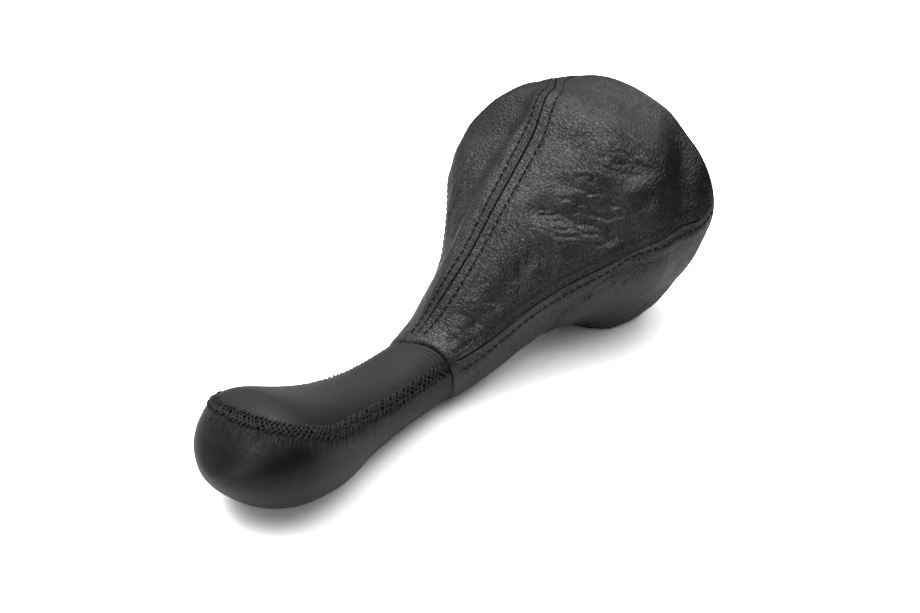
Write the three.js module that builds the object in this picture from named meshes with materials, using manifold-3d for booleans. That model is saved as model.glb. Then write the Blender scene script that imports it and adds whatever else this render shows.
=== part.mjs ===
// Gear lever gaiter: a leather-covered gear knob with a sewn four-panel leather gaiter at its neck.
// Millimetres, +Z up. The part lies on its belly, with the knob's nose towards -X and the gaiter's mouth
// towards +X. Heights are measured from the roll axis, the line along X about which the knob lies rolled.
// A turn round the part is measured from the near side (-Y) over the top (+Z) to the far side (+Y).
import * as THREE from "three";
import { mergeVertices } from "three/addons/utils/BufferGeometryUtils.js";
import Module from "manifold-3d";

const wasm = await Module();
wasm.setup();
const degree = Math.PI / 180;

// How the part lies
const KNOB_ROLL = 15;
const PRESSED_FLAT = 0.7;

// Clearances
const FIT = 0.3;
const NECK_FIT = 0.75;

// Knob outline: the nose, then sections, each a span after the one before it
const NOSE = { height: 9.8, lacing: 33 };
const HEAD = { span: 25, halfWidth: 28.5, top: 29.6, widest: 7.6, belly: -14, lacing: 21.6 };
const SHOULDER = { span: 14, halfWidth: 26.5, top: 22, widest: 2.4, belly: -15.6, lacing: 13.4 };
const HEEL = { span: 18, halfWidth: 20.6, top: 13.7, widest: 0.3, belly: -13.3, lacing: 8.2 };
const WAIST = { span: 20, halfWidth: 16.9, top: 9.5, widest: -1.1, belly: -13.1, lacing: 4.4 };
const NECK = { span: 17, halfWidth: 14.8, top: 10.4, widest: -0.8, belly: -14.3, lacing: 3.3 };
const CROWN_ROUNDNESS = 2.5;
const BELLY_ROUNDNESS = 2.26;
const NOSE_BLUNTNESS = { side: 1.8, top: 1.5, belly: 1.7 };

// Knob covering
const COVER_LEATHER = 1.2;
const COVER_JOIN = 0.8;
const NECK_COVER = 4;
const LACING_WIDTH = 6.4;
const LACING_RISE = 0.8;
const LACING_HOLLOW = 0.35;
const LACING_PITCH = 2.7;
const LACING_SEAT = 0.5;
const LACING_SETBACK = 1;

// Stem end and lever socket
const STEM_END = 13;
const TIE_GROOVE = 0.6;
const TIE_WIDTH = 3.2;
const TIE_THICKNESS = 1;
const TIE_SETBACK = 5.6;
const LEVER_RADIUS = 4.6;
const BUSH_WALL = 1.2;
const BUSH_LENGTH = 48;
const BUSH_SLOT = 1.6;
const BUSH_RECESS = 0.5;
const SOCKET_SPARE = 4;

// Gaiter outline: sections after the ring seam, each a span after the one before it
const COLLAR_STEP = 0.5;
const RING_LEAN = 2.6;
const RING_LEAN_TURN = 25;
const THROAT = { span: 7, spread: 1.3, swell: 2.2, lift: 1.6 };
const NAPE = { span: 19, centre: 10.3, halfWidth: 19.8, halfHeight: 24.6, side: -1, sag: 0 };
const CALF = { span: 20, centre: 21.8, halfWidth: 29.4, halfHeight: 28.1, side: 0.2, sag: 2 };
const BELLY = { span: 20, centre: 30.5, halfWidth: 41.3, halfHeight: 34.5, side: -0.3, sag: 9 };
const GIRTH = { span: 17, centre: 33.8, halfWidth: 49.7, halfHeight: 42.6, side: 1.7, sag: 9.5 };
const RIM = { span: 14, centre: 33.5, halfWidth: 48.1, halfHeight: 41, side: -0.1, sag: 11 };
const MOUTH = { span: 13, centre: 38, halfWidth: 42.6, halfHeight: 35, side: -2.7, sag: 5 };

// Gaiter sewing
const PANEL_NAMES = ["upper_near", "upper_far", "lower_far", "lower_near"];
// Seams in the order of the panels that start from them: degrees round the part at each gaiter section
const SEAMS = {
  near: [32, 29.5, 15.5, 13, 12, 12, 10.5, 6],
  top: [117, 107, 97, 98.5, 101, 104, 119, 131],
  far: [202, 196, 185, 180, 184, 192, 204, 212],
  bottom: [290, 284, 276, 274, 278, 284, 290, 296],
};
const GAITER_LEATHER = 1;
const JOIN_GAP = 0.36;
const BAND_WIDTH = 6.5;
const BAND_RISE = 0.35;
const BAND_EDGE = 2;
const BAND_SHARE = 0.27;
const TURNED_END = 9;
const HEM_DEPTH = 12;
const HEM_RADIUS = 1.5;
const HEM_STIFFNESS = 0.7;
const TAPE_WIDTH = 11;
const TAPE_THICKNESS = 0.6;

// Creases of the slack leather: from and to are [distance past the ring seam, degrees round the part]
const CREASES = [
  { name: "far ridge", from: [22, 119], to: [76, 107], width: 7, rise: 1.8 },
  { name: "far valley", from: [42, 148], to: [76, 120], width: 7, rise: -3.4 },
  { name: "far bulge", from: [62, 170], to: [64, 166], width: 14, rise: 7.6 },
  { name: "far calf", from: [28, 172], to: [42, 172], width: 8, rise: 0.8 },
  { name: "far rim", from: [92, 131], to: [97, 127], width: 8, rise: 1.3 },
  { name: "crown", from: [52, 74], to: [90, 66], width: 12, rise: 1.6 },
  { name: "middle crease", from: [68, 66], to: [76, 40], width: 5, rise: 1.6 },
  { name: "middle hollow", from: [54, 66], to: [68, 24], width: 6, rise: -2.2 },
  { name: "upper hollow", from: [74, 74], to: [79, 34], width: 6, rise: -1.8 },
  { name: "mouth ridge", from: [108, 66], to: [78, 27], width: 6, rise: 2.6 },
  { name: "mouth valley", from: [109, 50], to: [92, 20], width: 6, rise: -2.6 },
  { name: "low valley", from: [70, 6], to: [51, -24], width: 6, rise: -3 },
  { name: "low lobe", from: [84, -68], to: [98, -60], width: 13, rise: 7 },
  { name: "neck crease", from: [10, 42], to: [40, 46], width: 4, rise: -1 },
];

// Fineness of the surfaces
const KNOB_SIDES = 26;
const NOSE_RINGS = 6;
const STEM_RINGS = 11;
const PANEL_ROWS = 21;
const PANEL_MIDDLE_COLUMNS = 5;
const TURN_STEPS = 3;

const leather = (color, roughness) => new THREE.MeshStandardMaterial({ color, roughness, metalness: 0 });
const LEATHER = leather(0x1d1d1e, 0.55);
const STRETCHED_LEATHER = leather(0x191919, 0.45);
const THREAD = leather(0x111112, 0.8);
const MOULDING = leather(0x26272a, 0.5);
const NYLON = leather(0xd8d5c8, 0.45);
const TAPE = leather(0x2a2a2c, 0.9);

// Monotone cubic curve through the points (at[i], value[i]); the first slope can be set
function smoothCurve(at, value, firstSlope) {
  const rise = at.slice(1).map((x, i) => (value[i + 1] - value[i]) / (x - at[i]));
  const slope = at.map((x, i) => {
    if (i === 0) return firstSlope ?? rise[0];
    if (i === at.length - 1) return rise[i - 1];
    if (rise[i - 1] * rise[i] <= 0) return 0;
    const before = at[i] - at[i - 1];
    const after = at[i + 1] - at[i];
    return (3 * (before + after)) / ((2 * after + before) / rise[i - 1] + (after + 2 * before) / rise[i]);
  });
  return (x) => {
    const last = at.length - 2;
    const i = Math.max(0, Math.min(last, at.findLastIndex((a) => a <= x)));
    const step = at[i + 1] - at[i];
    const t = THREE.MathUtils.clamp((x - at[i]) / step, 0, 1);
    const keep = 1 - t;
    const ends = value[i] * (1 + 2 * t) * keep * keep + value[i + 1] * t * t * (3 - 2 * t);
    return ends + step * (slope[i] * t * keep * keep - slope[i + 1] * t * t * keep);
  };
}

const signedPower = (value, power) => Math.sign(value) * Math.abs(value) ** power;
const evenly = (from, to, count) => Array.from({ length: count }, (_, i) => from + ((to - from) * i) / (count - 1));

// Stations along the part
const knobSections = [HEAD, SHOULDER, HEEL, WAIST, NECK];
const knobStations = knobSections.map((_, i) => knobSections.slice(0, i + 1).reduce((sum, s) => sum + s.span, 0));
const headAt = knobStations[0];
const ringAt = knobStations.at(-1) + NECK_COVER;
const stemEndAt = ringAt + STEM_END;
const coverEndAt = ringAt - FIT;

const alongKnob = (key, firstSlope) => {
  return smoothCurve(knobStations, knobSections.map((s) => s[key]), firstSlope);
};
const knobHalfWidth = alongKnob("halfWidth", 0);
const knobTop = alongKnob("top", 0);
const knobBelly = alongKnob("belly", 0);
const knobWidest = alongKnob("widest", 0);
const lacingHeight = smoothCurve([0, ...knobStations], [NOSE.lacing, ...knobSections.map((s) => s.lacing)]);

// The ring seam leans: what lies there is further back on the near side than on the far side
function lean(point, roll) {
  const reach = ringAt - knobStations.at(-2);
  const share = point.x < ringAt ? (point.x - ringAt) / reach + 1 : 1 - (point.x - ringAt) / STEM_END;
  const direction = Math.atan2(point.z, -point.y) + (roll - RING_LEAN_TURN) * degree;
  point.x += RING_LEAN * THREE.MathUtils.smoothstep(share, 0, 1) * Math.cos(direction);
  return point;
}

// Section of the knob at x, everywhere an inset inside the leather's face; the nose closes as a rounded end
function knobSection(x, inset) {
  const length = headAt - inset;
  const back = Math.min(1, Math.max(0, (headAt - x) / length));
  const close = (power) => (1 - back ** power) ** (1 / power);
  const along = Math.max(x, headAt);
  const side = close(NOSE_BLUNTNESS.side);
  const widest = THREE.MathUtils.lerp(NOSE.height, knobWidest(along), side);
  const top = NOSE.height + (knobTop(along) - NOSE.height - inset) * close(NOSE_BLUNTNESS.top);
  const belly = NOSE.height + (knobBelly(along) - NOSE.height + inset) * close(NOSE_BLUNTNESS.belly);
  return { halfWidth: (knobHalfWidth(along) - inset) * side, widest, top, belly };
}

// Point at x of a section of the knob, with the turn counted in the knob's own frame
function sectionPoint(x, turn, section) {
  const [c, s] = [Math.cos(turn * degree), Math.sin(turn * degree)];
  const power = 2 / (s > 0 ? CROWN_ROUNDNESS : BELLY_ROUNDNESS);
  const reach = s > 0 ? section.top - section.widest : section.widest - section.belly;
  const y = -section.halfWidth * signedPower(c, power);
  return lean(new THREE.Vector3(x, y, section.widest + reach * signedPower(s, power)), KNOB_ROLL);
}

const rolled = (point, turn) => point.clone().applyAxisAngle(new THREE.Vector3(1, 0, 0), -turn * degree);

// Closed solid from rings of equal count; a ring of one point closes an end
function loftSolid(rings) {
  const sides = Math.max(...rings.map((ring) => ring.length));
  const full = rings.map((ring) => (ring.length === 1 ? Array(sides).fill(ring[0]) : ring));
  const triangles = [];
  for (let i = 0; i + 1 < full.length; i++)
    for (let j = 0; j < sides; j++) {
      const k = (j + 1) % sides;
      triangles.push([full[i][j], full[i + 1][j], full[i + 1][k]], [full[i][j], full[i + 1][k], full[i][k]]);
    }
  return solidFrom(triangles);
}

// Closed solid from a sheet's two faces, given as equal grids, with walls round its edge
function sheetSolid(face, back) {
  const [rows, columns] = [face.length - 1, face[0].length - 1];
  const triangles = [];
  const quad = (a, b, c, d) => triangles.push([a, b, c], [a, c, d]);
  for (let i = 0; i < rows; i++)
    for (let j = 0; j < columns; j++) {
      quad(face[i][j], face[i + 1][j], face[i + 1][j + 1], face[i][j + 1]);
      quad(back[i][j], back[i][j + 1], back[i + 1][j + 1], back[i + 1][j]);
    }
  for (let i = 0; i < rows; i++) {
    quad(face[i][0], back[i][0], back[i + 1][0], face[i + 1][0]);
    quad(face[i][columns], face[i + 1][columns], back[i + 1][columns], back[i][columns]);
  }
  for (let j = 0; j < columns; j++) {
    quad(face[0][j], face[0][j + 1], back[0][j + 1], back[0][j]);
    quad(face[rows][j], back[rows][j], back[rows][j + 1], face[rows][j + 1]);
  }
  return solidFrom(triangles);
}

// Triangles without the ones that have shrunk to a line, as a solid that can be cut
function solidFrom(triangles) {
  const kept = triangles.filter(([a, b, c]) => ![a.distanceTo(b), b.distanceTo(c), c.distanceTo(a)].some((d) => d < 1e-4));
  const geometry = new THREE.BufferGeometry().setFromPoints(kept.flat());
  return toSolid(geometry);
}

function toSolid(geometry) {
  const bare = new THREE.BufferGeometry().setAttribute("position", geometry.getAttribute("position"));
  if (geometry.index) bare.setIndex(geometry.index);
  const merged = mergeVertices(bare, 1e-4);
  return new wasm.Manifold(
    new wasm.Mesh({
      numProp: 3,
      vertProperties: new Float32Array(merged.getAttribute("position").array),
      triVerts: new Uint32Array(merged.index.array),
    }),
  );
}

function toMesh(name, solid, material) {
  const { vertProperties, triVerts } = solid.getMesh();
  const geometry = new THREE.BufferGeometry();
  geometry.setAttribute("position", new THREE.BufferAttribute(new Float32Array(vertProperties), 3));
  geometry.setIndex(new THREE.BufferAttribute(new Uint32Array(triVerts), 1));
  geometry.computeVertexNormals();
  const mesh = new THREE.Mesh(geometry, material);
  mesh.name = name;
  return mesh;
}

// Outer surface of the knob from the nose to the ring seam
const turns = Array.from({ length: KNOB_SIDES }, (_, j) => (360 * j) / KNOB_SIDES);
const knobRing = (x, inset) => turns.map((turn) => sectionPoint(x, turn, knobSection(x, inset)));
const stemRing = (x, inset) => turns.map((turn) => sectionPoint(x, turn, knobSection(ringAt, inset)));

function knobRings(inset, end) {
  const nose = evenly(0, 90, NOSE_RINGS + 1).map((a) => headAt - (headAt - inset) * Math.cos(a * degree));
  const stem = evenly(headAt, end, STEM_RINGS + 1).slice(1);
  return [[new THREE.Vector3(inset, 0, NOSE.height)], ...[...nose.slice(1), ...stem].map((x) => knobRing(x, inset))];
}

// The knob lies on its belly: the level at which its leather is pressed flat
const skinPoints = knobRings(0, coverEndAt).flat();
const floorLevel = Math.min(...skinPoints.map((p) => rolled(p, KNOB_ROLL).z)) + PRESSED_FLAT;

// Stem end: a spigot that the gaiter's turned end, the tie and the gaiter itself fit round
const spigotInset = NECK_FIT + 2 * FIT + 2 * GAITER_LEATHER + TIE_THICKNESS - COLLAR_STEP;
const neckSection = knobSection(ringAt, 0);
const socketHeight = (neckSection.top + neckSection.belly) / 2;
const socketRadius = LEVER_RADIUS + BUSH_WALL + FIT;
const tieAt = ringAt + TIE_SETBACK;

function axialCylinder(radius, from, to) {
  const cylinder = new THREE.CylinderGeometry(radius, radius, to - from, KNOB_SIDES);
  return cylinder.rotateZ(-90 * degree).translate((from + to) / 2, 0, socketHeight);
}

function knobCore() {
  const inset = COVER_LEATHER + FIT;
  const grooveInset = spigotInset + TIE_GROOVE;
  const spigot = [
    [coverEndAt, spigotInset],
    [tieAt, spigotInset],
    [tieAt, grooveInset],
    [tieAt + TIE_WIDTH, grooveInset],
    [tieAt + TIE_WIDTH, spigotInset],
    [stemEndAt, spigotInset],
  ].map(([x, depth]) => stemRing(x, depth));
  const end = [new THREE.Vector3(stemEndAt, 0, socketHeight)];
  const blank = loftSolid([...knobRings(inset, coverEndAt), ...spigot, end]);
  const socketEnd = stemEndAt - BUSH_RECESS - BUSH_LENGTH - SOCKET_SPARE;
  return blank.subtract(toSolid(axialCylinder(socketRadius, socketEnd, stemEndAt + FIT)));
}

// Split nylon bush that grips the lever
function leverBush() {
  const outer = LEVER_RADIUS + BUSH_WALL;
  const halfSlot = BUSH_SLOT / 2;
  const outerStart = Math.asin(halfSlot / outer);
  const innerStart = Math.asin(halfSlot / LEVER_RADIUS);
  const outline = new THREE.Shape()
    .absarc(0, 0, outer, outerStart, 2 * Math.PI - outerStart, false)
    .absarc(0, 0, LEVER_RADIUS, 2 * Math.PI - innerStart, innerStart, true);
  const tube = new THREE.ExtrudeGeometry(outline, { depth: BUSH_LENGTH, bevelEnabled: false, curveSegments: 24 });
  tube.rotateY(90 * degree).translate(stemEndAt - BUSH_RECESS - BUSH_LENGTH, 0, socketHeight);
  return toSolid(tube);
}

// Knob leather: one shell, cut along the lacing into a tongue over the top and a belly piece
function coverShell() {
  const outer = knobRings(0, coverEndAt);
  const inner = knobRings(COVER_LEATHER, coverEndAt).reverse();
  return loftSolid([...outer, ...inner]);
}

function aboveLacing(offset) {
  const reach = 2 * HEAD.top;
  const line = evenly(-reach, ringAt + reach, 60).map((x) => new THREE.Vector2(x, lacingHeight(x) + offset));
  const outline = new THREE.Shape([...line, new THREE.Vector2(ringAt + reach, reach), new THREE.Vector2(-reach, reach)]);
  const block = new THREE.ExtrudeGeometry(outline, { depth: 2 * reach, bevelEnabled: false });
  return toSolid(block.rotateX(90 * degree).translate(0, reach, 0));
}

function floorBlock() {
  const size = 4 * ringAt;
  const block = new THREE.BoxGeometry(size, size, size).translate(0, 0, floorLevel - size / 2);
  return toSolid(block.rotateX(KNOB_ROLL * degree));
}

// Level set of the knob's surface: zero on it, positive outside
function knobField(p) {
  const section = knobSection(p.x, 0);
  const crown = p.z > section.widest;
  const reach = crown ? section.top - section.widest : section.widest - section.belly;
  const power = crown ? CROWN_ROUNDNESS : BELLY_ROUNDNESS;
  const across = Math.abs(p.y) / section.halfWidth;
  return across ** power + (Math.abs(p.z - section.widest) / reach) ** power - 1;
}

function settle(point, lift) {
  const probe = 0.01;
  const axes = [new THREE.Vector3(1, 0, 0), new THREE.Vector3(0, 1, 0), new THREE.Vector3(0, 0, 1)];
  const slopeAt = (p) => {
    const step = (axis) => knobField(p.clone().addScaledVector(axis, probe)) - knobField(p);
    return new THREE.Vector3(...axes.map((axis) => step(axis) / probe));
  };
  const p = point.clone();
  for (let pass = 0; pass < 3; pass++) {
    const slope = slopeAt(p);
    p.addScaledVector(slope, -knobField(p) / slope.lengthSq());
  }
  return { foot: p.clone().addScaledVector(slopeAt(p).normalize(), lift), normal: slopeAt(p).normalize() };
}

// Line of the lacing: up the near side, across the head's top and back along the far side
function lacingPath() {
  let [front, back] = [0, headAt];
  for (let pass = 0; pass < 30; pass++) {
    const middle = (front + back) / 2;
    if (knobSection(middle, 0).top < lacingHeight(middle)) front = middle;
    else back = middle;
  }
  const side = evenly(1, 0, 60).map((share) => {
    const x = back + (coverEndAt - LACING_SETBACK - back) * share * share;
    const section = knobSection(x, 0);
    const climb = (lacingHeight(x) - section.widest) / (section.top - section.widest);
    const across = (1 - Math.min(1, climb) ** CROWN_ROUNDNESS) ** (1 / CROWN_ROUNDNESS);
    return new THREE.Vector3(x, -section.halfWidth * across, lacingHeight(x));
  });
  const far = side.slice(0, -1).reverse().map((p) => new THREE.Vector3(p.x, -p.y, p.z));
  return new THREE.CatmullRomCurve3([...side, ...far], false, "centripetal");
}

// Cross-stitched lacing as a strip with a herringbone of ribs
function knobLacing() {
  const path = lacingPath();
  const ribs = Math.round(path.getLength() / LACING_PITCH);
  const rowCount = 2 * ribs + 1;
  const at = (i) => THREE.MathUtils.clamp(i / (rowCount - 1), 0, 1);
  const rings = Array.from({ length: rowCount }, (_, i) => {
    const crest = i % 2 === 0;
    const edgeShare = at(i - 1);
    const half = (LACING_WIDTH / 2) * (crest ? 1 : 0.85);
    const edge = (side) => {
      const p = path.getPointAt(edgeShare);
      const { normal } = settle(p, 0);
      const across = path.getTangentAt(edgeShare).cross(normal).normalize();
      return settle(p.addScaledVector(across, side * half), LACING_SEAT).foot;
    };
    const rise = crest ? LACING_RISE : LACING_HOLLOW;
    const middle = (lift) => settle(path.getPointAt(at(i)), lift).foot;
    return [edge(1), middle(LACING_SEAT + rise), edge(-1), middle(LACING_SEAT)].map((p) => lean(p, KNOB_ROLL));
  });
  const centre = (ring) => [ring.reduce((sum, p) => sum.add(p), new THREE.Vector3()).divideScalar(ring.length)];
  return loftSolid([centre(rings[0]), ...rings, centre(rings.at(-1))]);
}

// Gaiter sections; the collar and the throat follow the knob's neck
const collar = {
  centre: socketHeight,
  halfWidth: neckSection.halfWidth + COLLAR_STEP,
  halfHeight: (neckSection.top - neckSection.belly) / 2 + COLLAR_STEP,
  side: 0,
  sag: 0,
};
const throat = {
  centre: collar.centre + THROAT.lift,
  halfWidth: collar.halfWidth + THROAT.spread,
  halfHeight: collar.halfHeight + THROAT.swell,
  side: 0,
  sag: 0,
};
const gaiterSections = [collar, throat, NAPE, CALF, BELLY, GIRTH, RIM, MOUTH];
const gaiterSpans = [0, THROAT.span, ...gaiterSections.slice(2).map((s) => s.span)];
const gaiterStations = gaiterSpans.map((_, i) => ringAt + gaiterSpans.slice(0, i + 1).reduce((a, b) => a + b, 0));
const mouthAt = gaiterStations.at(-1);
const alongGaiter = (key) => smoothCurve(gaiterStations, gaiterSections.map((s) => s[key]));
const gaiterCurves = Object.fromEntries(Object.keys(collar).map((key) => [key, alongGaiter(key)]));
const gaiterRadius = (x) => Math.sqrt(gaiterCurves.halfWidth(x) * gaiterCurves.halfHeight(x));

// Point of the stem's section that lies in a given direction, an inset inside the knob's leather
function stemPoint(x, turn, inset) {
  const local = (turn - KNOB_ROLL) * degree;
  const [c, s] = [Math.cos(local), Math.sin(local)];
  const section = knobSection(ringAt, inset);
  const power = s > 0 ? CROWN_ROUNDNESS : BELLY_ROUNDNESS;
  const reach = s > 0 ? section.top - section.widest : section.widest - section.belly;
  const radius = ((Math.abs(c) / section.halfWidth) ** power + (Math.abs(s) / reach) ** power) ** (-1 / power);
  return rolled(new THREE.Vector3(x, -radius * c, section.widest + radius * s), KNOB_ROLL);
}

function ovalPoint(x, turn) {
  const [c, s] = [Math.cos(turn * degree), Math.sin(turn * degree)];
  const at = (key) => gaiterCurves[key](x);
  const sag = s < 0 ? at("sag") * s ** 4 : 0;
  return new THREE.Vector3(x, at("side") - at("halfWidth") * c, at("centre") + at("halfHeight") * s - sag);
}

// Height of the creases at a point, each a rounded ridge or hollow along its line
function creaseHeight(x, turn) {
  const perDegree = gaiterRadius(x) * degree;
  return CREASES.reduce((sum, { from, to, width, rise }) => {
    const ahead = new THREE.Vector2(to[0] - from[0], (to[1] - from[1]) * perDegree);
    const turnFrom = THREE.MathUtils.euclideanModulo(turn - from[1] + 180, 360) - 180;
    const here = new THREE.Vector2(x - ringAt - from[0], turnFrom * perDegree);
    const share = THREE.MathUtils.clamp(here.dot(ahead) / ahead.lengthSq(), 0, 1);
    const distance = here.addScaledVector(ahead, -share).length();
    return sum + rise * Math.exp(-((distance / width) ** 2));
  }, 0);
}

// The doubled leather of the hem creases less than the slack leather ahead of it
const creaseShare = (x) => 1 - HEM_STIFFNESS * THREE.MathUtils.smoothstep(x, mouthAt - 2 * HEM_DEPTH, mouthAt);

// Face of the gaiter: ovals that start from the neck's own section, creased, and lying on the floor
function gaiterPoint(x, turn) {
  const neckShare = 1 - THREE.MathUtils.smoothstep(x, ringAt, ringAt + THROAT.span + NAPE.span / 2);
  const point = ovalPoint(x, turn);
  const neck = stemPoint(x, turn, -COLLAR_STEP).sub(ovalPoint(ringAt, turn)).setX(0);
  point.addScaledVector(neck, neckShare);
  const outward = new THREE.Vector3(0, -Math.cos(turn * degree), Math.sin(turn * degree));
  point.addScaledVector(outward, creaseHeight(x, turn) * (1 - neckShare) * creaseShare(x));
  const above = point.z - floorLevel;
  if (above < -PRESSED_FLAT) point.z = floorLevel;
  else if (above < PRESSED_FLAT) point.z = floorLevel + (above + PRESSED_FLAT) ** 2 / (4 * PRESSED_FLAT);
  return point;
}

function gaiterFrame(x, turn) {
  const probe = 0.2;
  const point = gaiterPoint(x, turn);
  const along = gaiterPoint(x + probe, turn).sub(gaiterPoint(x - probe, turn)).normalize();
  const round = gaiterPoint(x, turn + probe).sub(gaiterPoint(x, turn - probe));
  return { point, along, normal: along.clone().cross(round).normalize() };
}

const gaiterAt = (x, turn, depth) => {
  const { point, normal } = gaiterFrame(x, turn);
  point.addScaledVector(normal, -depth);
  return point.setZ(Math.max(point.z, floorLevel));
};

// Seam allowances fade out before the turned ends, where the leather is doubled already
const seamStart = ringAt + THROAT.span + BAND_WIDTH;
const seamEnd = mouthAt - HEM_DEPTH - BAND_EDGE;
const seamShare = (x) => {
  const { smoothstep } = THREE.MathUtils;
  return smoothstep(x, seamStart, seamStart + BAND_WIDTH) * (1 - smoothstep(x, seamEnd - BAND_WIDTH, seamEnd));
};

const seamTurns = Object.values(SEAMS).map((turns) => smoothCurve(gaiterStations, turns));
const seamTurn = (x, seam) => seamTurns[seam % seamTurns.length](x) + (seam < seamTurns.length ? 0 : 360);

// Columns of a panel at x: the turn of each, and how far it belongs to the seam band
function panelColumns(x, panel) {
  const start = seamTurn(x, panel);
  const sweep = seamTurn(x, panel + 1) - start;
  const width = gaiterRadius(x) * sweep * degree;
  const band = Math.min(BAND_WIDTH, width * BAND_SHARE);
  const edge = Math.min(BAND_EDGE, band);
  const middle = evenly(band + edge, width - band - edge, PANEL_MIDDLE_COLUMNS + 2);
  const places = [JOIN_GAP / 2, band, ...middle, width - band, width - JOIN_GAP / 2];
  return places.map((place, i) => ({
    turn: start + (sweep * place) / width,
    inBand: i < 2 || i > places.length - 3 ? 1 : 0,
  }));
}

const flapDepth = spigotInset - NECK_FIT;
const foldRadius = (COLLAR_STEP + flapDepth) / 2;
const foldAt = ringAt + foldRadius;
const panelRows = evenly(foldAt, mouthAt, PANEL_ROWS + 1);

// One panel, from its turned end at the neck, round the ring fold, along its face and round the mouth hem
function gaiterPanel(panel) {
  const face = [];
  const back = [];
  const addRow = (columns, place) => {
    const points = columns.map(place);
    face.push(points.map((p) => lean(p[0], 0)));
    back.push(points.map((p) => lean(p[1], 0)));
  };
  const neckColumns = panelColumns(foldAt, panel);
  for (const x of evenly(ringAt + TURNED_END, foldAt, 3))
    addRow(neckColumns, ({ turn }) => [stemPoint(x, turn, flapDepth), stemPoint(x, turn, flapDepth - GAITER_LEATHER)]);

  for (const angle of evenly(-90, 90, TURN_STEPS + 1).slice(1, -1))
    addRow(neckColumns, ({ turn }) => {
      const [outer, inner] = [gaiterPoint(foldAt, turn), stemPoint(foldAt, turn, flapDepth)];
      const middle = outer.clone().lerp(inner, 0.5);
      const half = middle.distanceTo(inner);
      const up = outer.clone().sub(middle).normalize();
      return [0, GAITER_LEATHER].map((depth) => {
        const point = middle.clone().addScaledVector(up, (half - depth) * Math.sin(angle * degree));
        point.x -= (foldRadius - depth) * Math.cos(angle * degree);
        return point;
      });
    });

  for (const x of panelRows)
    addRow(panelColumns(x, panel), ({ turn, inBand }) => {
      const seam = inBand * seamShare(x);
      return [gaiterAt(x, turn, -BAND_RISE * seam), gaiterAt(x, turn, GAITER_LEATHER * (1 + seam))];
    });

  const mouthColumns = panelColumns(mouthAt, panel);
  for (const angle of evenly(0, 180, TURN_STEPS + 1).slice(1, -1))
    addRow(mouthColumns, ({ turn }) => {
      const { point, along, normal } = gaiterFrame(mouthAt, turn);
      const centre = point.addScaledVector(normal, -HEM_RADIUS);
      const way = normal.multiplyScalar(Math.cos(angle * degree)).addScaledVector(along, Math.sin(angle * degree));
      return [HEM_RADIUS, HEM_RADIUS - GAITER_LEATHER].map((r) => centre.clone().addScaledVector(way, r));
    });

  for (const x of evenly(mouthAt, mouthAt - HEM_DEPTH, 3))
    addRow(panelColumns(x, panel), ({ turn }) => {
      return [gaiterAt(x, turn, 2 * HEM_RADIUS), gaiterAt(x, turn, 2 * HEM_RADIUS - GAITER_LEATHER)];
    });
  return sheetSolid(face, back);
}

// Tape sewn behind each join, under the turned seam allowances
function seamTape(seam) {
  const depth = 2 * GAITER_LEATHER + FIT;
  const rows = panelRows.filter((x) => x > seamStart + BAND_WIDTH && x < seamEnd - BAND_WIDTH);
  const across = (x, below) => {
    const turn = seamTurn(x, seam);
    const band = BAND_WIDTH / (gaiterRadius(x) * degree);
    const join = gaiterAt(x, turn, below);
    const edge = (side) => join.clone().lerp(gaiterAt(x, turn + side * band, below), TAPE_WIDTH / 2 / BAND_WIDTH);
    return [edge(-1), join, edge(1)];
  };
  return sheetSolid(rows.map((x) => across(x, depth)), rows.map((x) => across(x, depth + TAPE_THICKNESS)));
}

// Tie that holds the gaiter's turned end in the stem's groove
function neckTie() {
  const inner = flapDepth - GAITER_LEATHER - FIT;
  const ring = (x, inset) => turns.map((turn) => lean(stemPoint(x, turn, inset), 0));
  const corners = [
    [tieAt, inner],
    [tieAt, inner - TIE_THICKNESS],
    [tieAt + TIE_WIDTH, inner - TIE_THICKNESS],
    [tieAt + TIE_WIDTH, inner],
    [tieAt, inner],
  ];
  return loftSolid(corners.map(([x, inset]) => ring(x, inset)));
}

// The knob is built upright and rolled as a whole
const knob = new THREE.Group();
knob.rotation.x = -KNOB_ROLL * degree;
const shell = coverShell();
knob.add(
  toMesh("knob_core", knobCore(), MOULDING),
  toMesh("lever_bush", leverBush(), NYLON),
  toMesh("knob_top_cover", shell.intersect(aboveLacing(COVER_JOIN / 2)), STRETCHED_LEATHER),
  toMesh("knob_belly_cover", shell.subtract(aboveLacing(-COVER_JOIN / 2)).subtract(floorBlock()), STRETCHED_LEATHER),
  toMesh("knob_lacing", knobLacing(), THREAD),
);

const gaiter = new THREE.Group();
gaiter.add(toMesh("neck_tie", neckTie(), NYLON));
PANEL_NAMES.forEach((name, i) => gaiter.add(toMesh(`gaiter_${name}`, gaiterPanel(i), LEATHER)));
Object.keys(SEAMS).forEach((name, i) => gaiter.add(toMesh(`seam_tape_${name}`, seamTape(i), TAPE)));

// Origin below the middle of the part, on the floor
const group = new THREE.Group();
group.add(knob, gaiter);
group.updateMatrixWorld(true);
const box = new THREE.Box3().setFromObject(group, true);
const middle = box.getCenter(new THREE.Vector3());
group.position.set(-middle.x, -middle.y, -box.min.z);

export default group;
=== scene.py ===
"""A leather-covered gear knob with its sewn four-panel gaiter, lying on its belly on a pale floor."""
import math

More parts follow.
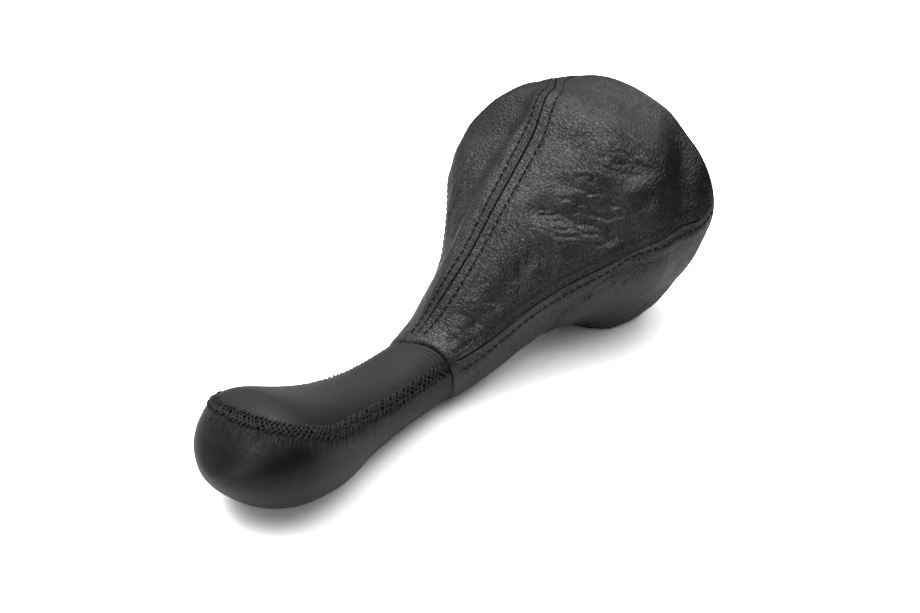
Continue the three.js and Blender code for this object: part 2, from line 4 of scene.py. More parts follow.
import bmesh
import bpy
import numpy as np
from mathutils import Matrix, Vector

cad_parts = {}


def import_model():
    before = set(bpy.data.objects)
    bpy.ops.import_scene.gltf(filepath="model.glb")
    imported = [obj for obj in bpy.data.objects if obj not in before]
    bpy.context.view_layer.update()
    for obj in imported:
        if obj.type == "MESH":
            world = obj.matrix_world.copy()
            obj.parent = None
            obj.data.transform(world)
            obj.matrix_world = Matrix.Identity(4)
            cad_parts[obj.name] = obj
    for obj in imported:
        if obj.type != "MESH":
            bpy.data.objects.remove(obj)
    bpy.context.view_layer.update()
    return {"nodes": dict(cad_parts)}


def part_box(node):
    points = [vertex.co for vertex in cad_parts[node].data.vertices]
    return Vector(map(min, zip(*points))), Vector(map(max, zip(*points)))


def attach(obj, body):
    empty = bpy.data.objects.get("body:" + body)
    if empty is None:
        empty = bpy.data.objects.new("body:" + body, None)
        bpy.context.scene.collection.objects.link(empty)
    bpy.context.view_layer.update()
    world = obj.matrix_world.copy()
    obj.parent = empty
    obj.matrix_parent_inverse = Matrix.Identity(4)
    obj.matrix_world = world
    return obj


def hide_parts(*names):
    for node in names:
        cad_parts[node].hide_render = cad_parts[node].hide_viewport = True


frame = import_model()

# All sizes are millimetres in the part's own axes; to_frame() turns them into metres in the frame.
MM = 0.001

# How the part lies
KNOB_ROLL = 15.0
PRESSED_FLAT = 0.7

# Knob outline: spans from the nose, then the outline at each station
NOSE_HEIGHT = 9.8
NOSE_BLUNTNESS = {"side": 1.8, "top": 1.5, "belly": 1.7}
KNOB_SPANS = [25, 14, 18, 20, 17]
KNOB_HALF_WIDTHS = [28.5, 26.5, 20.6, 16.9, 14.8]
KNOB_TOPS = [29.6, 22, 13.7, 9.5, 10.4]
KNOB_WIDEST = [7.6, 2.4, 0.3, -1.1, -0.8]
KNOB_BELLIES = [-14, -15.6, -13.3, -13.1, -14.3]
LACING_HEIGHTS = [33, 21.6, 13.4, 8.2, 4.4, 3.3]
CROWN_ROUNDNESS = 2.5
BELLY_ROUNDNESS = 2.26
COVER_LEATHER = 1.2
NECK_COVER = 4
FIT = 0.3
NECK_FIT = 0.75

# Stem end
STEM_END = 13
LEVER_RADIUS = 4.6
BUSH_WALL = 1.2
TIE_THICKNESS = 1.0

# Gaiter outline: spans from the ring seam, then the section at each station after the throat
COLLAR_STEP = 0.5
RING_LEAN = 2.6
RING_LEAN_TURN = 25
THROAT = {"span": 7, "spread": 1.3, "swell": 2.2, "lift": 1.6}
GAITER_SPANS = [19, 20, 20, 17, 14, 13]
GAITER_CENTRES = [10.3, 21.8, 30.5, 33.8, 33.5, 38]
GAITER_HALF_WIDTHS = [19.8, 29.4, 41.3, 49.7, 48.1, 42.6]
GAITER_HALF_HEIGHTS = [24.6, 28.1, 34.5, 42.6, 41, 35]
GAITER_SIDES = [-1, 0.2, -0.3, 1.7, -0.1, -2.7]
GAITER_SAGS = [0, 2, 9, 9.5, 11, 5]
GAITER_LEATHER = 1.0
JOIN_GAP = 0.12
BAND_WIDTH = 6.5
BAND_RISE = 0.35
BAND_EDGE = 2.0
BAND_SHARE = 0.27
TURNED_END = 9
HEM_DEPTH = 12
HEM_RADIUS = 1.5
HEM_STIFFNESS = 0.7
TAPE_WIDTH = 11
TAPE_THICKNESS = 0.6

# Slack folds of the gaiter: from, to, width and rise.
# Each end is a distance past the ring seam and a turn in degrees.
FOLDS = [
    ((22, 119), (76, 107), 7, 1.8),
    ((42, 148), (76, 120), 7, -3.4),
    ((62, 170), (64, 166), 14, 7.6),
    ((28, 172), (42, 172), 8, 0.8),
    ((92, 131), (97, 127), 8, 1.3),
    ((52, 74), (90, 66), 12, 1.6),
    ((68, 66), (76, 40), 5, 1.6),
    ((54, 66), (68, 24), 6, -2.2),
    ((74, 74), (79, 34), 6, -1.8),
    ((108, 66), (78, 27), 6, 2.6),
    ((109, 50), (92, 20), 6, -2.6),
    ((70, 6), (51, -24), 6, -3),
    ((84, -68), (98, -60), 13, 7),
    ((10, 42), (40, 46), 4, -1),
    # Fainter folds, which the solids are too plain to show
    ((26, 122), (68, 111), 3.2, 1.0),
    ((34, 144), (70, 126), 4, -0.9),
    ((84, 70), (93, 48), 4, 0.7),
    ((104, 66), (76, 42), 4.5, 1.1),
    ((104, 44), (78, 26), 6, -0.9),
    ((48, 160), (65, 117), 3.5, 1.0),
    ((58, 58), (76, 62), 5, 0.7),
]

# Bundles of creases in the slack leather: from, to, number of lines, their spacing and depth
CREASES = [
    ((69, 76), (83, 42), 7, 1.1, 0.47),
    ((62, 75), (73, 44), 7, 1.1, 0.52),
    ((49, 75), (67, 19), 8, 1.4, 0.57),
    ((69, 92), (81, 60), 3, 0.7, 0.24),
    ((85, 82), (87, 60), 5, 1.6, 0.21),
    ((42, 80), (37, 38), 5, 1.4, 0.28),
    ((46, 74), (45, 24), 7, 1.6, 0.30),
    ((32, 78), (34, 30), 7, 1.9, 0.23),
    ((23, 76), (29, 27), 7, 1.6, 0.27),
    ((14, 72), (19, 30), 8, 1.6, 0.40),
    ((8, 66), (10, 32), 7, 1.0, 0.28),
    ((60, 60), (74, 28), 5, 1.5, 0.27),
    ((44, 168), (66, 116), 8, 1.5, 0.25),
    ((30, 160), (52, 118), 7, 1.5, 0.19),
    ((68, 4), (50, -28), 7, 1.4, 0.33),
    ((44, 8), (30, -20), 7, 1.9, 0.19),
    ((58, -30), (40, -62), 7, 1.9, 0.24),
    ((50, 205), (62, 250), 8, 1.9, 0.33),
    ((30, 200), (38, 250), 7, 1.9, 0.28),
]
CREASE_WIDTH = 0.34
CREASE_TROUGH = 1.5
# How far a crease wanders, and over what length: slowly, and in small jerks
CREASE_WANDER = (2.4, 9)
CREASE_JERKS = (0.5, 2.6)
# The trough that a bundle lies in, and the crest beside it: place, width and rise
BUNDLE_TROUGH = (-1.5, 2.6, 1)
BUNDLE_CREST = (3.5, 3.0, -0.6)
BUNDLE_BEND = (3.0, 14)
# A crease's soft shoulders and its valley, in widths of the crease
CREASE_SHOULDER = {"rise": 0.2, "at": 3, "width": 1.8}
CREASE_VALLEY = {"deep": 0.7, "wide": 0.3, "width": 4}
# Wrinkles and swells: size along and round the gaiter, depth, and sharpness
FINE_WRINKLES = {"size": (1.7, 6.5), "depth": 0.12, "sharpness": 0.24}
BROAD_WRINKLES = {"size": (4.2, 13), "depth": 0.16, "sharpness": 0.16}
SWELLS = {"size": (6.5, 11), "depth": 0.4}
PATCH_SIZE = (26, 22)

# Sewing
PANELS = ["upper_near", "upper_far", "lower_far", "lower_near"]
# Seams in the order of the panels that start from them: degrees round the part at each gaiter station
SEAMS = {
    "near": [32, 29.5, 15.5, 13, 12, 12, 10.5, 6],
    "top": [117, 107, 97, 98.5, 101, 104, 119, 131],
    "far": [202, 196, 185, 180, 184, 192, 204, 212],
    "bottom": [290, 284, 276, 274, 278, 284, 290, 296],
}
# Relief beside a join: the rolled edge, the gap, the pulled row of stitches and the leather beside it
BEAD = {"rise": 0.34, "at": 0.75, "width": 0.42}
JOIN_GROOVE = {"depth": 0.7, "width": 0.5}
STITCH_GROOVE = {"depth": 0.16, "hole": 0.22, "width": 0.62}
STITCH_PUFF = {"rise": 0.07, "width": 2.2}
STITCH_LINE = 3.8
STITCH_PITCH = 2.9
STITCH_LENGTH = 2.2
THREAD_RADIUS = 0.3
# A stitch's thickness from end to end, as shares of the thread's
STITCH_SHAPE = [0.45, 0.85, 1, 1, 1, 0.85, 0.45]
# How far a stitch stands up in its middle and sinks at its ends, in thread radii
STITCH_LIFT = 0.9
STITCH_SINK = 13
LACING_WIDTH = 6.0
LACING_PITCH = 1.9
LACING_REACH = 4.9
LACING_CORD = 0.4
LACING_POINTS = 17
LACING_SIDES = 8
# How far a strand sinks at its ends, stands up, and weaves over and under the next one
LACING_SINK = 0.95
LACING_LIFT = 0.22
LACING_WEAVE = 0.3
LACING_SLIP = 0.3
LACING_GROOVE = {"depth": 1.0, "width": 1.5}
# The two covers' puckers beside the lacing, creases before the ring seam, and columns
COVERS = {
    "top": {"pucker": 0.08, "crease": 0.22, "crease_reach": 8, "columns": 111},
    "belly": {"pucker": 0.15, "crease": 0.16, "crease_reach": 5, "columns": 241},
}
PUCKER_REACH = {"top": 2.2, "belly": 6.5, "varies": 3.5}
# Where along the knob the puckers fade towards the stem, and over what length
HEAD_END = 70
HEAD_FADE = 30
PUCKER_STEP = 0.9
PUCKER_LENGTH = 9.0

# Studio
TABLE_BRIGHTNESS = 3.0
TABLE_EDGE = (0.12, 0.27)
TABLE_LEVEL = 0.85
BEYOND_TABLE_LEVEL = 0.04
STUDIO_DIMNESS = 0.01
SOFTBOX_FOCUS = 24
# Softboxes: degrees round from the near side towards +X, degrees up, and strength
SOFTBOXES = [
    (0, 67, 2.7),
    (60, 67, 1.0),
    (180, 67, 6.6),
    (240, 67, 2.6),
    (72, 45, 0.4),
    (180, 45, 0.9),
    (108, 23, 1.0),
    (144, 23, 1.3),
    (180, 5, 1.2),
    (270, 5, 3.0),
]
# Camera: degrees round and up, metres from its target, and focal length as a share of the picture's width
CAMERA_AZIMUTH = -45.14
CAMERA_ELEVATION = 39.62
CAMERA_TARGET = [122.4, 3.26, 13.0]
CAMERA_DISTANCE = 0.85
CAMERA_FOCAL = 2285.3 / 920
SENSOR_WIDTH = 36

# Fineness of the surfaces: steps in mm, and numbers of rows
ROW_STEP = 0.36
COLUMN_STEP = 0.42
SOFTENING = 5.5
SOFTENING_SPREAD = 2.4
SOFTENING_SAMPLES = 13
FLAP_ROWS = 7
FOLD_ROWS = 7
HEM_ROWS = 19
RISE_ROWS = 40
RISE_CROWDING = 1.5
NOSE_ROWS = 60
TAPE_ROWS = 71
TAPE_COLUMNS = 13
LACING_SAMPLES = 1200
HALVINGS = 40
NOISE_CELLS = 256
NOISE_KNOTS = 600
# Places of the crowded columns beside a join, in mm
JOIN_COLUMNS = [0, 0.12, 0.3, 0.55, 0.85, 1.2, 1.6, 2.1, 2.7, 3.3, 3.8, 4.3, 4.9, 5.6, 6.5, 7.4, 8.5]
# A wall round a sheet has three corners on its face and two on its back
WALL_CORNERS = 5


def smoothstep(t):
    t = np.clip(t, 0, 1)
    return t * t * (3 - 2 * t)


def bell(distance, width):
    return np.exp(-((distance / width) ** 2))


def smooth_curve(at, value, first_slope=None):
    """Monotone cubic curve through the points (at, value), as a function of an array."""
    at, value = np.array(at, float), np.array(value, float)
    step, rise = np.diff(at), np.diff(value) / np.diff(at)
    slope = np.concatenate([[rise[0] if first_slope is None else first_slope], rise])
    for i in range(1, len(at) - 1):
        before, after = step[i - 1], step[i]
        if rise[i - 1] * rise[i] <= 0:
            slope[i] = 0
        else:
            weights = (2 * after + before) / rise[i - 1] + (after + 2 * before) / rise[i]
            slope[i] = 3 * (before + after) / weights

    def curve(x):
        x = np.asarray(x, float)
        i = np.clip(np.searchsorted(at, x, side="right") - 1, 0, len(at) - 2)
        t = np.clip((x - at[i]) / step[i], 0, 1)
        keep = 1 - t
        ends = value[i] * (1 + 2 * t) * keep**2 + value[i + 1] * t**2 * (3 - 2 * t)
        return ends + step[i] * (slope[i] * t * keep**2 - slope[i + 1] * t**2 * keep)

    return curve


# Stations and outline curves of the knob
KNOB_STATIONS = np.cumsum(KNOB_SPANS)
HEAD_AT = KNOB_STATIONS[0]
RING_AT = KNOB_STATIONS[-1] + NECK_COVER
COVER_END_AT = RING_AT - FIT
knob_half_width, knob_top, knob_belly, knob_widest = (
    smooth_curve(KNOB_STATIONS, values, 0)
    for values in (KNOB_HALF_WIDTHS, KNOB_TOPS, KNOB_BELLIES, KNOB_WIDEST)
)
lacing_height = smooth_curve([0, *KNOB_STATIONS], LACING_HEIGHTS)


def points(x, y, z):
    return np.stack(np.broadcast_arrays(np.asarray(x, float), y, z), axis=-1)


def unit(vectors):
    length = np.linalg.norm(vectors, axis=-1, keepdims=True)
    return vectors / np.maximum(length, 1e-9)


def run_along(line):
    """Distance along a line at each of its points."""
    return np.concatenate([[0], np.cumsum(np.linalg.norm(np.diff(line, axis=0), axis=1))])


def value_at(at, run, values):
    """Rows of values, given at each distance of run, read off at other distances."""
    return np.stack([np.interp(at, run, values[:, k]) for k in range(3)], axis=-1)


def lean(p, roll=0.0):
    """The ring seam leans: what lies there is further back on the near side than on the far side."""
    reach = RING_AT - KNOB_STATIONS[-2]
    x = p[..., 0]
    share = np.where(x < RING_AT, (x - RING_AT) / reach + 1, 1 - (x - RING_AT) / STEM_END)
    direction = np.arctan2(p[..., 2], -p[..., 1]) + math.radians(roll - RING_LEAN_TURN)
    out = p.copy()
    out[..., 0] += RING_LEAN * smoothstep(share) * np.cos(direction)
    return out


def rolled(p, turn):
    """Turned about the roll axis so that the near side rises."""
    c, s = math.cos(math.radians(turn)), math.sin(math.radians(turn))
    return points(p[..., 0], p[..., 1] * c + p[..., 2] * s, p[..., 2] * c - p[..., 1] * s)


def softened(section):
    """The section without its small changes of bend along the knob, which would streak the gloss."""
    offsets = np.linspace(-SOFTENING_SPREAD, SOFTENING_SPREAD, SOFTENING_SAMPLES)
    weights = np.exp(-(offsets**2) / 2)
    weights = weights / weights.sum()

    def smooth(x, inset=0.0):
        x = np.asarray(x, float)
        reach = np.minimum(SOFTENING, np.maximum(x, 0) / 3)
        parts = [section(x + reach * offset, inset) for offset in offsets]
        return [sum(w * part[i] for w, part in zip(weights, parts)) for i in range(4)]

    return smooth


@softened
def knob_section(x, inset):
    """Half width, widest line, top and belly of the knob at x, an inset inside the leather's face."""
    back = np.clip((HEAD_AT - x) / (HEAD_AT - inset), 0, 1)
    close = {key: (1 - back**power) ** (1 / power) for key, power in NOSE_BLUNTNESS.items()}
    along = np.maximum(x, HEAD_AT)
    widest = NOSE_HEIGHT + (knob_widest(along) - NOSE_HEIGHT) * close["side"]
    top = NOSE_HEIGHT + (knob_top(along) - NOSE_HEIGHT - inset) * close["top"]
    belly = NOSE_HEIGHT + (knob_belly(along) - NOSE_HEIGHT + inset) * close["belly"]
    return (knob_half_width(along) - inset) * close["side"], widest, top, belly


def knob_point(x, turn, inset=0.0):
    """Point of the knob's surface in its own frame, before the roll; turn in degrees."""
    half_width, widest, top, belly = knob_section(x, inset)
    c, s = np.cos(np.radians(turn)), np.sin(np.radians(turn))
    crown = s > 0
    power = 2 / np.where(crown, CROWN_ROUNDNESS, BELLY_ROUNDNESS)
    reach = np.where(crown, top - widest, widest - belly)
    y = -half_width * np.sign(c) * np.abs(c) ** power
    return points(x, y, widest + reach * np.sign(s) * np.abs(s) ** power)


neck_half_width, _, neck_top, neck_belly = knob_section(RING_AT)
SOCKET_HEIGHT = (KNOB_TOPS[-1] + KNOB_BELLIES[-1]) / 2
SPIGOT_INSET = NECK_FIT + 2 * FIT + 2 * GAITER_LEATHER + TIE_THICKNESS - COLLAR_STEP


def frame_origin():
    """Where the roll axis starts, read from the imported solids, in metres."""
    bush_low, bush_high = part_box("lever_bush")
    roll = math.radians(KNOB_ROLL)
    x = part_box("knob_core")[1].x - (RING_AT + STEM_END) * MM
    y = (bush_low.y + bush_high.y) / 2 - SOCKET_HEIGHT * math.sin(roll) * MM
    z = bush_high.z - (LEVER_RADIUS + BUSH_WALL) * MM - SOCKET_HEIGHT * math.cos(roll) * MM
    return np.array([x, y, z])


ORIGIN = frame_origin()
FLOOR = -ORIGIN[2] / MM


def to_frame(p):
    """Points in millimetres about the roll axis, as metres in the frame."""
    return np.asarray(p) * MM + ORIGIN


# Sections of the gaiter; the collar and the throat follow the knob's neck
COLLAR_HALF_HEIGHT = float((neck_top - neck_belly) / 2) + COLLAR_STEP
COLLAR_HALF_WIDTH = float(neck_half_width) + COLLAR_STEP
GAITER_STATIONS = RING_AT + np.cumsum([0, THROAT["span"], *GAITER_SPANS])
MOUTH_AT = GAITER_STATIONS[-1]
gaiter_centre = smooth_curve(
    GAITER_STATIONS, [SOCKET_HEIGHT, SOCKET_HEIGHT + THROAT["lift"], *GAITER_CENTRES]
)
gaiter_half_width = smooth_curve(
    GAITER_STATIONS, [COLLAR_HALF_WIDTH, COLLAR_HALF_WIDTH + THROAT["spread"], *GAITER_HALF_WIDTHS]
)
gaiter_half_height = smooth_curve(
    GAITER_STATIONS, [COLLAR_HALF_HEIGHT, COLLAR_HALF_HEIGHT + THROAT["swell"], *GAITER_HALF_HEIGHTS]
)
gaiter_side = smooth_curve(GAITER_STATIONS, [0, 0, *GAITER_SIDES])
gaiter_sag = smooth_curve(GAITER_STATIONS, [0, 0, *GAITER_SAGS])


def gaiter_radius(x):
    return np.sqrt(gaiter_half_width(x) * gaiter_half_height(x))


def stem_point(x, turn, inset):
    """Point on the stem's section in a given direction, an inset inside the knob's leather."""
    local = np.radians(turn - KNOB_ROLL)
    c, s = np.cos(local), np.sin(local)
    half_width, widest, top, belly = knob_section(RING_AT, inset)
    crown = s > 0
    power = np.where(crown, CROWN_ROUNDNESS, BELLY_ROUNDNESS)
    reach = np.where(crown, top - widest, widest - belly)
    radius = ((np.abs(c) / half_width) ** power + (np.abs(s) / reach) ** power) ** (-1 / power)
    return rolled(points(x, -radius * c, widest + radius * s), KNOB_ROLL)


def oval_point(x, turn):
    c, s = np.cos(np.radians(turn)), np.sin(np.radians(turn))
    sag = np.where(s < 0, gaiter_sag(x) * s**4, 0)
    y = gaiter_side(x) - gaiter_half_width(x) * c
    return points(x, y, gaiter_centre(x) + gaiter_half_height(x) * s - sag)


def line_distance(x, turn, start, end):
    """Distance in mm over the gaiter from (x, turn) to a line."""
    per_degree = gaiter_radius(x) * math.pi / 180
    ahead_x, ahead_y = end[0] - start[0], (end[1] - start[1]) * per_degree
    here_x, here_y = x - RING_AT - start[0], (np.mod(turn - start[1] + 180, 360) - 180) * per_degree
    share = np.clip((here_x * ahead_x + here_y * ahead_y) / (ahead_x**2 + ahead_y**2), 0, 1)
    return np.hypot(here_x - share * ahead_x, here_y - share * ahead_y)


def fold_height(x, turn):
    height = 0
    for start, end, width, rise in FOLDS:
        height = height + rise * bell(line_distance(x, turn, start, end), width)
    return height


def press(z):
    """Heights held up by the floor, with a soft edge to the flat."""
    above = z - FLOOR
    eased = FLOOR + (above + PRESSED_FLAT) ** 2 / (4 * PRESSED_FLAT)
    return np.where(above < -PRESSED_FLAT, FLOOR, np.where(above < PRESSED_FLAT, eased, z))


def gaiter_point(x, turn):
    """Face of the gaiter with its slack folds, lying on the floor."""
    reach = THROAT["span"] + GAITER_SPANS[0] / 2
    neck_share = 1 - smoothstep((x - RING_AT) / reach)
    p = oval_point(x, turn)
    neck = stem_point(x, turn, -COLLAR_STEP) - oval_point(RING_AT, turn)
    neck[..., 0] = 0
    near_hem = smoothstep((x - MOUTH_AT + 2 * HEM_DEPTH) / (2 * HEM_DEPTH))
    slack = (1 - neck_share) * (1 - HEM_STIFFNESS * near_hem)
    height = fold_height(x, turn) * slack
    outward = points(0, -np.cos(np.radians(turn)), np.sin(np.radians(turn)))
    p = p + neck * neck_share[..., None] + outward * height[..., None]
    p[..., 2] = press(p[..., 2])
    return p


def grid_normals(p):
    """Outward normals of a grid whose rows run to +X and whose columns run up the near side."""
    return unit(np.cross(np.gradient(p, axis=0), np.gradient(p, axis=1)))


def mean_steps(face):
    return np.linalg.norm(np.diff(face, axis=0), axis=-1).mean(axis=1)


# Mesh building
def within(side):
    """Whether a wall lies inside the sheet, where two of the sheet's edges are welded together."""
    return sum(len(edge.link_faces) > 2 for edge in side.edges) > 1


def mesh_object(name, vertices, faces, materials, face_slots=None, uvs=None, weld=0.0):
    mesh = bpy.data.meshes.new(name)
    mesh.from_pydata(to_frame(vertices).tolist(), [], faces)
    for material in materials:
        mesh.materials.append(material)
    if face_slots is not None:
        mesh.polygons.foreach_set("material_index", np.asarray(face_slots, np.int32))
    corners = np.zeros(len(mesh.loops), np.int32)
    mesh.loops.foreach_get("vertex_index", corners)
    for layer, uv in (uvs or {}).items():
        mesh.uv_layers.new(name=layer).data.foreach_set("uv", (uv[corners] * MM).ravel())
    obj = bpy.data.objects.new(name, mesh)
    bpy.context.scene.collection.objects.link(obj)
    if weld:
        shape = bmesh.new()
        shape.from_mesh(mesh)
        bmesh.ops.remove_doubles(shape, verts=shape.verts, dist=weld * MM)
        bmesh.ops.dissolve_degenerate(shape, edges=shape.edges, dist=weld * MM / 10)
        walls_within = [side for side in shape.faces if len(side.verts) == WALL_CORNERS and within(side)]
        bmesh.ops.delete(shape, geom=walls_within, context="FACES")
        shape.to_mesh(mesh)
        shape.free()
    mesh.polygons.foreach_set("use_smooth", np.ones(len(mesh.polygons), bool))
    mesh.update()
    return obj


def sheet_object(name, face, back, face_uvs, materials, weld=0.0):
    """Closed sheet between two grids, with walls round its edge; materials are (face, back).

    The grids have odd sides, and the back keeps every second point of its own."""
    rows, columns = face.shape[:2]
    index = np.arange(rows * columns).reshape(rows, columns)
    back = back[::2, ::2]
    below = np.arange(back.shape[0] * back.shape[1]).reshape(back.shape[:2]) + rows * columns

    def quads(a, b, c, d):
        return np.stack([a.ravel(), b.ravel(), c.ravel(), d.ravel()], axis=1)

    def wall(edge, under):
        return np.stack([edge[:-1:2], under[:-1], under[1:], edge[2::2], edge[1::2]], axis=1)

    shown = quads(index[:-1, :-1], index[1:, :-1], index[1:, 1:], index[:-1, 1:])
    hidden = quads(below[:-1, :-1], below[:-1, 1:], below[1:, 1:], below[1:, :-1])
    walls = np.concatenate(
        [
            wall(index[:, 0], below[:, 0]),
            wall(index[::-1, -1], below[::-1, -1]),
            wall(index[0, ::-1], below[0, ::-1]),
            wall(index[-1], below[-1]),
        ]
    )
    slots = [0] * len(shown) + [1] * len(hidden) + [0] * len(walls)
    vertices = np.concatenate([face.reshape(-1, 3), back.reshape(-1, 3)])
    uvs = {
        layer: np.concatenate([uv.reshape(-1, 2), uv[::2, ::2].reshape(-1, 2)])
        for layer, uv in face_uvs.items()
    }
    faces = shown.tolist() + hidden.tolist() + walls.tolist()
    return mesh_object(name, vertices, faces, materials, slots, uvs, weld)


def odd(count):
    return int(count) // 2 * 2 + 1


def cords_object(name, paths, normals, radii, sides, material):
    """Short cords as one mesh: paths and normals are (cord, point, 3), radii is one number per point."""
    count, length = paths.shape[:2]
    along = unit(np.gradient(paths, axis=1))
    across = unit(np.cross(along, normals))
    up = np.cross(across, along)
    angles = np.arange(sides) * 2 * math.pi / sides
    ring = across[:, :, None] * np.cos(angles)[:, None] + up[:, :, None] * np.sin(angles)[:, None]
    vertices = paths[:, :, None] + ring * np.asarray(radii)[None, :, None, None]
    index = np.arange(count * length * sides).reshape(count, length, sides)
    after = np.roll(index, -1, axis=2)
    walls = np.stack([index[:, :-1], after[:, :-1], after[:, 1:], index[:, 1:]], axis=-1)
    ends = index[:, 0, ::-1].tolist() + index[:, -1].tolist()
    return mesh_object(name, vertices.reshape(-1, 3), walls.reshape(-1, 4).tolist() + ends, [material])


# Materials
def new_material(name):
    material = bpy.data.materials.new(name)
    material.use_nodes = True
    tree = material.node_tree
    return material, Nodes(tree), tree.nodes["Principled BSDF"]


class Nodes:
    """Short way to add shader nodes and join them."""

    def __init__(self, tree):
        self.tree = tree

    def add(self, kind, settings=None, **inputs):
        node = self.tree.nodes.new(kind)
        for key, value in (settings or {}).items():
            setattr(node, key, value)
        for key, value in inputs.items():
            self.feed(node.inputs[key.replace("_", " ")], value)
        return node

    def feed(self, socket, value):
        if isinstance(value, bpy.types.NodeSocket):
            self.tree.links.new(value, socket)
        else:
            socket.default_value = value

    def place(self):
        return self.add("ShaderNodeTexCoord").outputs["Object"]

    def sheet(self, layer="leather"):
        return self.add("ShaderNodeUVMap", {"uv_map": layer}).outputs["UV"]

    def noise(self, place, scale, detail):
        return self.add("ShaderNodeTexNoise", Vector=place, Scale=scale, Detail=detail).outputs["Fac"]

    def bump(self, height, depth, under=None):
        """Relief so many mm deep, over the relief of another bump."""
        node = self.add("ShaderNodeBump", Height=height, Distance=depth * MM)
        if under is not None:
            self.feed(node.inputs["Normal"], under)
        return node.outputs[0]

    def fed(self, kind, settings, values):
        node = self.add(kind, settings)
        for socket, value in zip(node.inputs, values):
            self.feed(socket, value)
        return node.outputs

    def math(self, operation, *values):
        return self.fed("ShaderNodeMath", {"operation": operation}, values)[0]

    def vector(self, operation, *values, result="Vector"):
        return self.fed("ShaderNodeVectorMath", {"operation": operation}, values)[result]

    def span(self, value, low, high, to_low=0.0, to_high=1.0, easing="LINEAR"):
        values = (value, low, high, to_low, to_high)
        return self.fed("ShaderNodeMapRange", {"interpolation_type": easing}, values)[0]

    def mix(self, share, first, second):
        node = self.tree.nodes.new("ShaderNodeMix")
        node.data_type = "RGBA"
        self.feed(node.inputs[0], share)
        self.feed(node.inputs[6], first)
        self.feed(node.inputs[7], second)
        return node.outputs[2]


def grey(level, warmth=0.0):
    return (level * (1 + warmth), level, level * (1 - warmth), 1)


def leather(name, level, roughness, shine, pebble, pebble_depth, crease_depth, pucker_depth=0.0):
    """Dyed leather: domed pebbles drawn out round the part, with painted shade in the grooves between them,
    fine creases, and a worn, uneven finish.
    """
    material, n, shader = new_material(name)
    place = n.place()
    sheet = n.sheet()
    drift = n.add("ShaderNodeTexNoise", Vector=sheet, Scale=180.0, Detail=3.0).outputs["Color"]

    def drawn_out(along, across, wander):
        """Sheet coordinates in steps of so many mm along and across, bent a little at random."""
        stretched = n.vector("MULTIPLY", sheet, (1 / (along * MM), 1 / (across * MM), 0))
        return n.vector("MULTIPLY_ADD", drift, (wander, wander, 0), stretched)

    def pebbles(size, edge):
        cells = n.add(
            "ShaderNodeTexVoronoi",
            {"feature": "DISTANCE_TO_EDGE", "voronoi_dimensions": "2D"},
            Vector=drawn_out(size, size * 1.45, 1.6),
            Scale=1.0,
        ).outputs["Distance"]
        return n.span(cells, 0.0, edge, easing="SMOOTHSTEP")

    patches = n.noise(place, 42.0, 3.0)
    strength = n.span(patches, 0.35, 0.65, 0.55, 1.0)
    coarse, fine = pebbles(pebble, 0.3), pebbles(pebble * 0.47, 0.35)
    grain = n.math("MULTIPLY", n.math("MULTIPLY_ADD", fine, 0.4, coarse), strength)
    lines = n.noise(drawn_out(1.5, 7.0, 1.0), 1.0, 2.0)
    folded = n.math("ABSOLUTE", n.math("SUBTRACT", lines, 0.5))
    crease = n.math("MULTIPLY", n.math("MINIMUM", folded, 0.07), n.span(patches, 0.4, 0.65, 0.2, 1.0))
    relief = n.bump(crease, crease_depth, n.bump(grain, pebble_depth))
    if pucker_depth:
        beside = n.sheet("lacing")
        apart = n.add("ShaderNodeSeparateXYZ", Vector=beside)
        stretched = n.vector("MULTIPLY", beside, (1 / (PUCKER_STEP * MM), 1 / (PUCKER_LENGTH * MM), 0))
        pulled = n.add("ShaderNodeTexNoise", Vector=stretched, Scale=1.0, Distortion=0.3)
        pull = n.span(apart.outputs["Y"], 0.5 * MM, PUCKER_LENGTH * MM, 1.0, 0.0)
        pucker = n.math("MULTIPLY", pulled.outputs["Fac"], n.math("POWER", pull, 1.5))
        relief = n.bump(pucker, pucker_depth, relief)
    n.feed(shader.inputs["Normal"], relief)
    # Painted shade: the colour darkens into the grooves between the pebbles and is lighter on their tops.
    groove_shaded_tone = n.mix(coarse, grey(level * 0.6), grey(level * 1.1, 0.01))
    n.feed(shader.inputs["Base Color"], n.mix(n.span(patches, 0.3, 0.75), groove_shaded_tone, grey(level * 1.15)))
    n.feed(shader.inputs["Roughness"], n.span(coarse, 0.0, 1.0, roughness + 0.14, roughness))
    shader.inputs["Specular IOR Level"].default_value = shine
    return material


def suede(name, level):
    material, n, shader = new_material(name)
    place = n.place()
    nap, cloud = n.noise(place, 1800.0, 4.0), n.noise(place, 60.0, 2.0)
    n.feed(shader.inputs["Base Color"], n.mix(cloud, grey(level * 0.8), grey(level * 1.25, 0.03)))
    n.feed(shader.inputs["Normal"], n.bump(nap, 0.2))
    shader.inputs["Roughness"].default_value = 0.95
    shader.inputs["Sheen Weight"].default_value = 0.2
    return material


def thread(name, level):
    material, n, shader = new_material(name)
    place = n.place()
    fibres = n.noise(place, 2600.0, 3.0)
    n.feed(shader.inputs["Base Color"], n.mix(fibres, grey(level * 0.6), grey(level * 1.5)))
    n.feed(shader.inputs["Normal"], n.bump(fibres, 0.2))
    shader.inputs["Roughness"].default_value = 0.6
    shader.inputs["Sheen Weight"].default_value = 0.1
    return material


def moulded(name, colour, roughness):
    material, n, shader = new_material(name)
    place = n.place()
    texture, cloud = n.noise(place, 900.0, 2.0), n.noise(place, 45.0, 2.0)
    dark = tuple(c * 0.86 for c in colour[:3]) + (1,)
    n.feed(shader.inputs["Base Color"], n.mix(cloud, dark, colour))
    n.feed(shader.inputs["Normal"], n.bump(texture, 0.03))
    n.feed(shader.inputs["Roughness"], n.span(cloud, 0.3, 0.7, roughness - 0.05, roughness + 0.08))
    return material


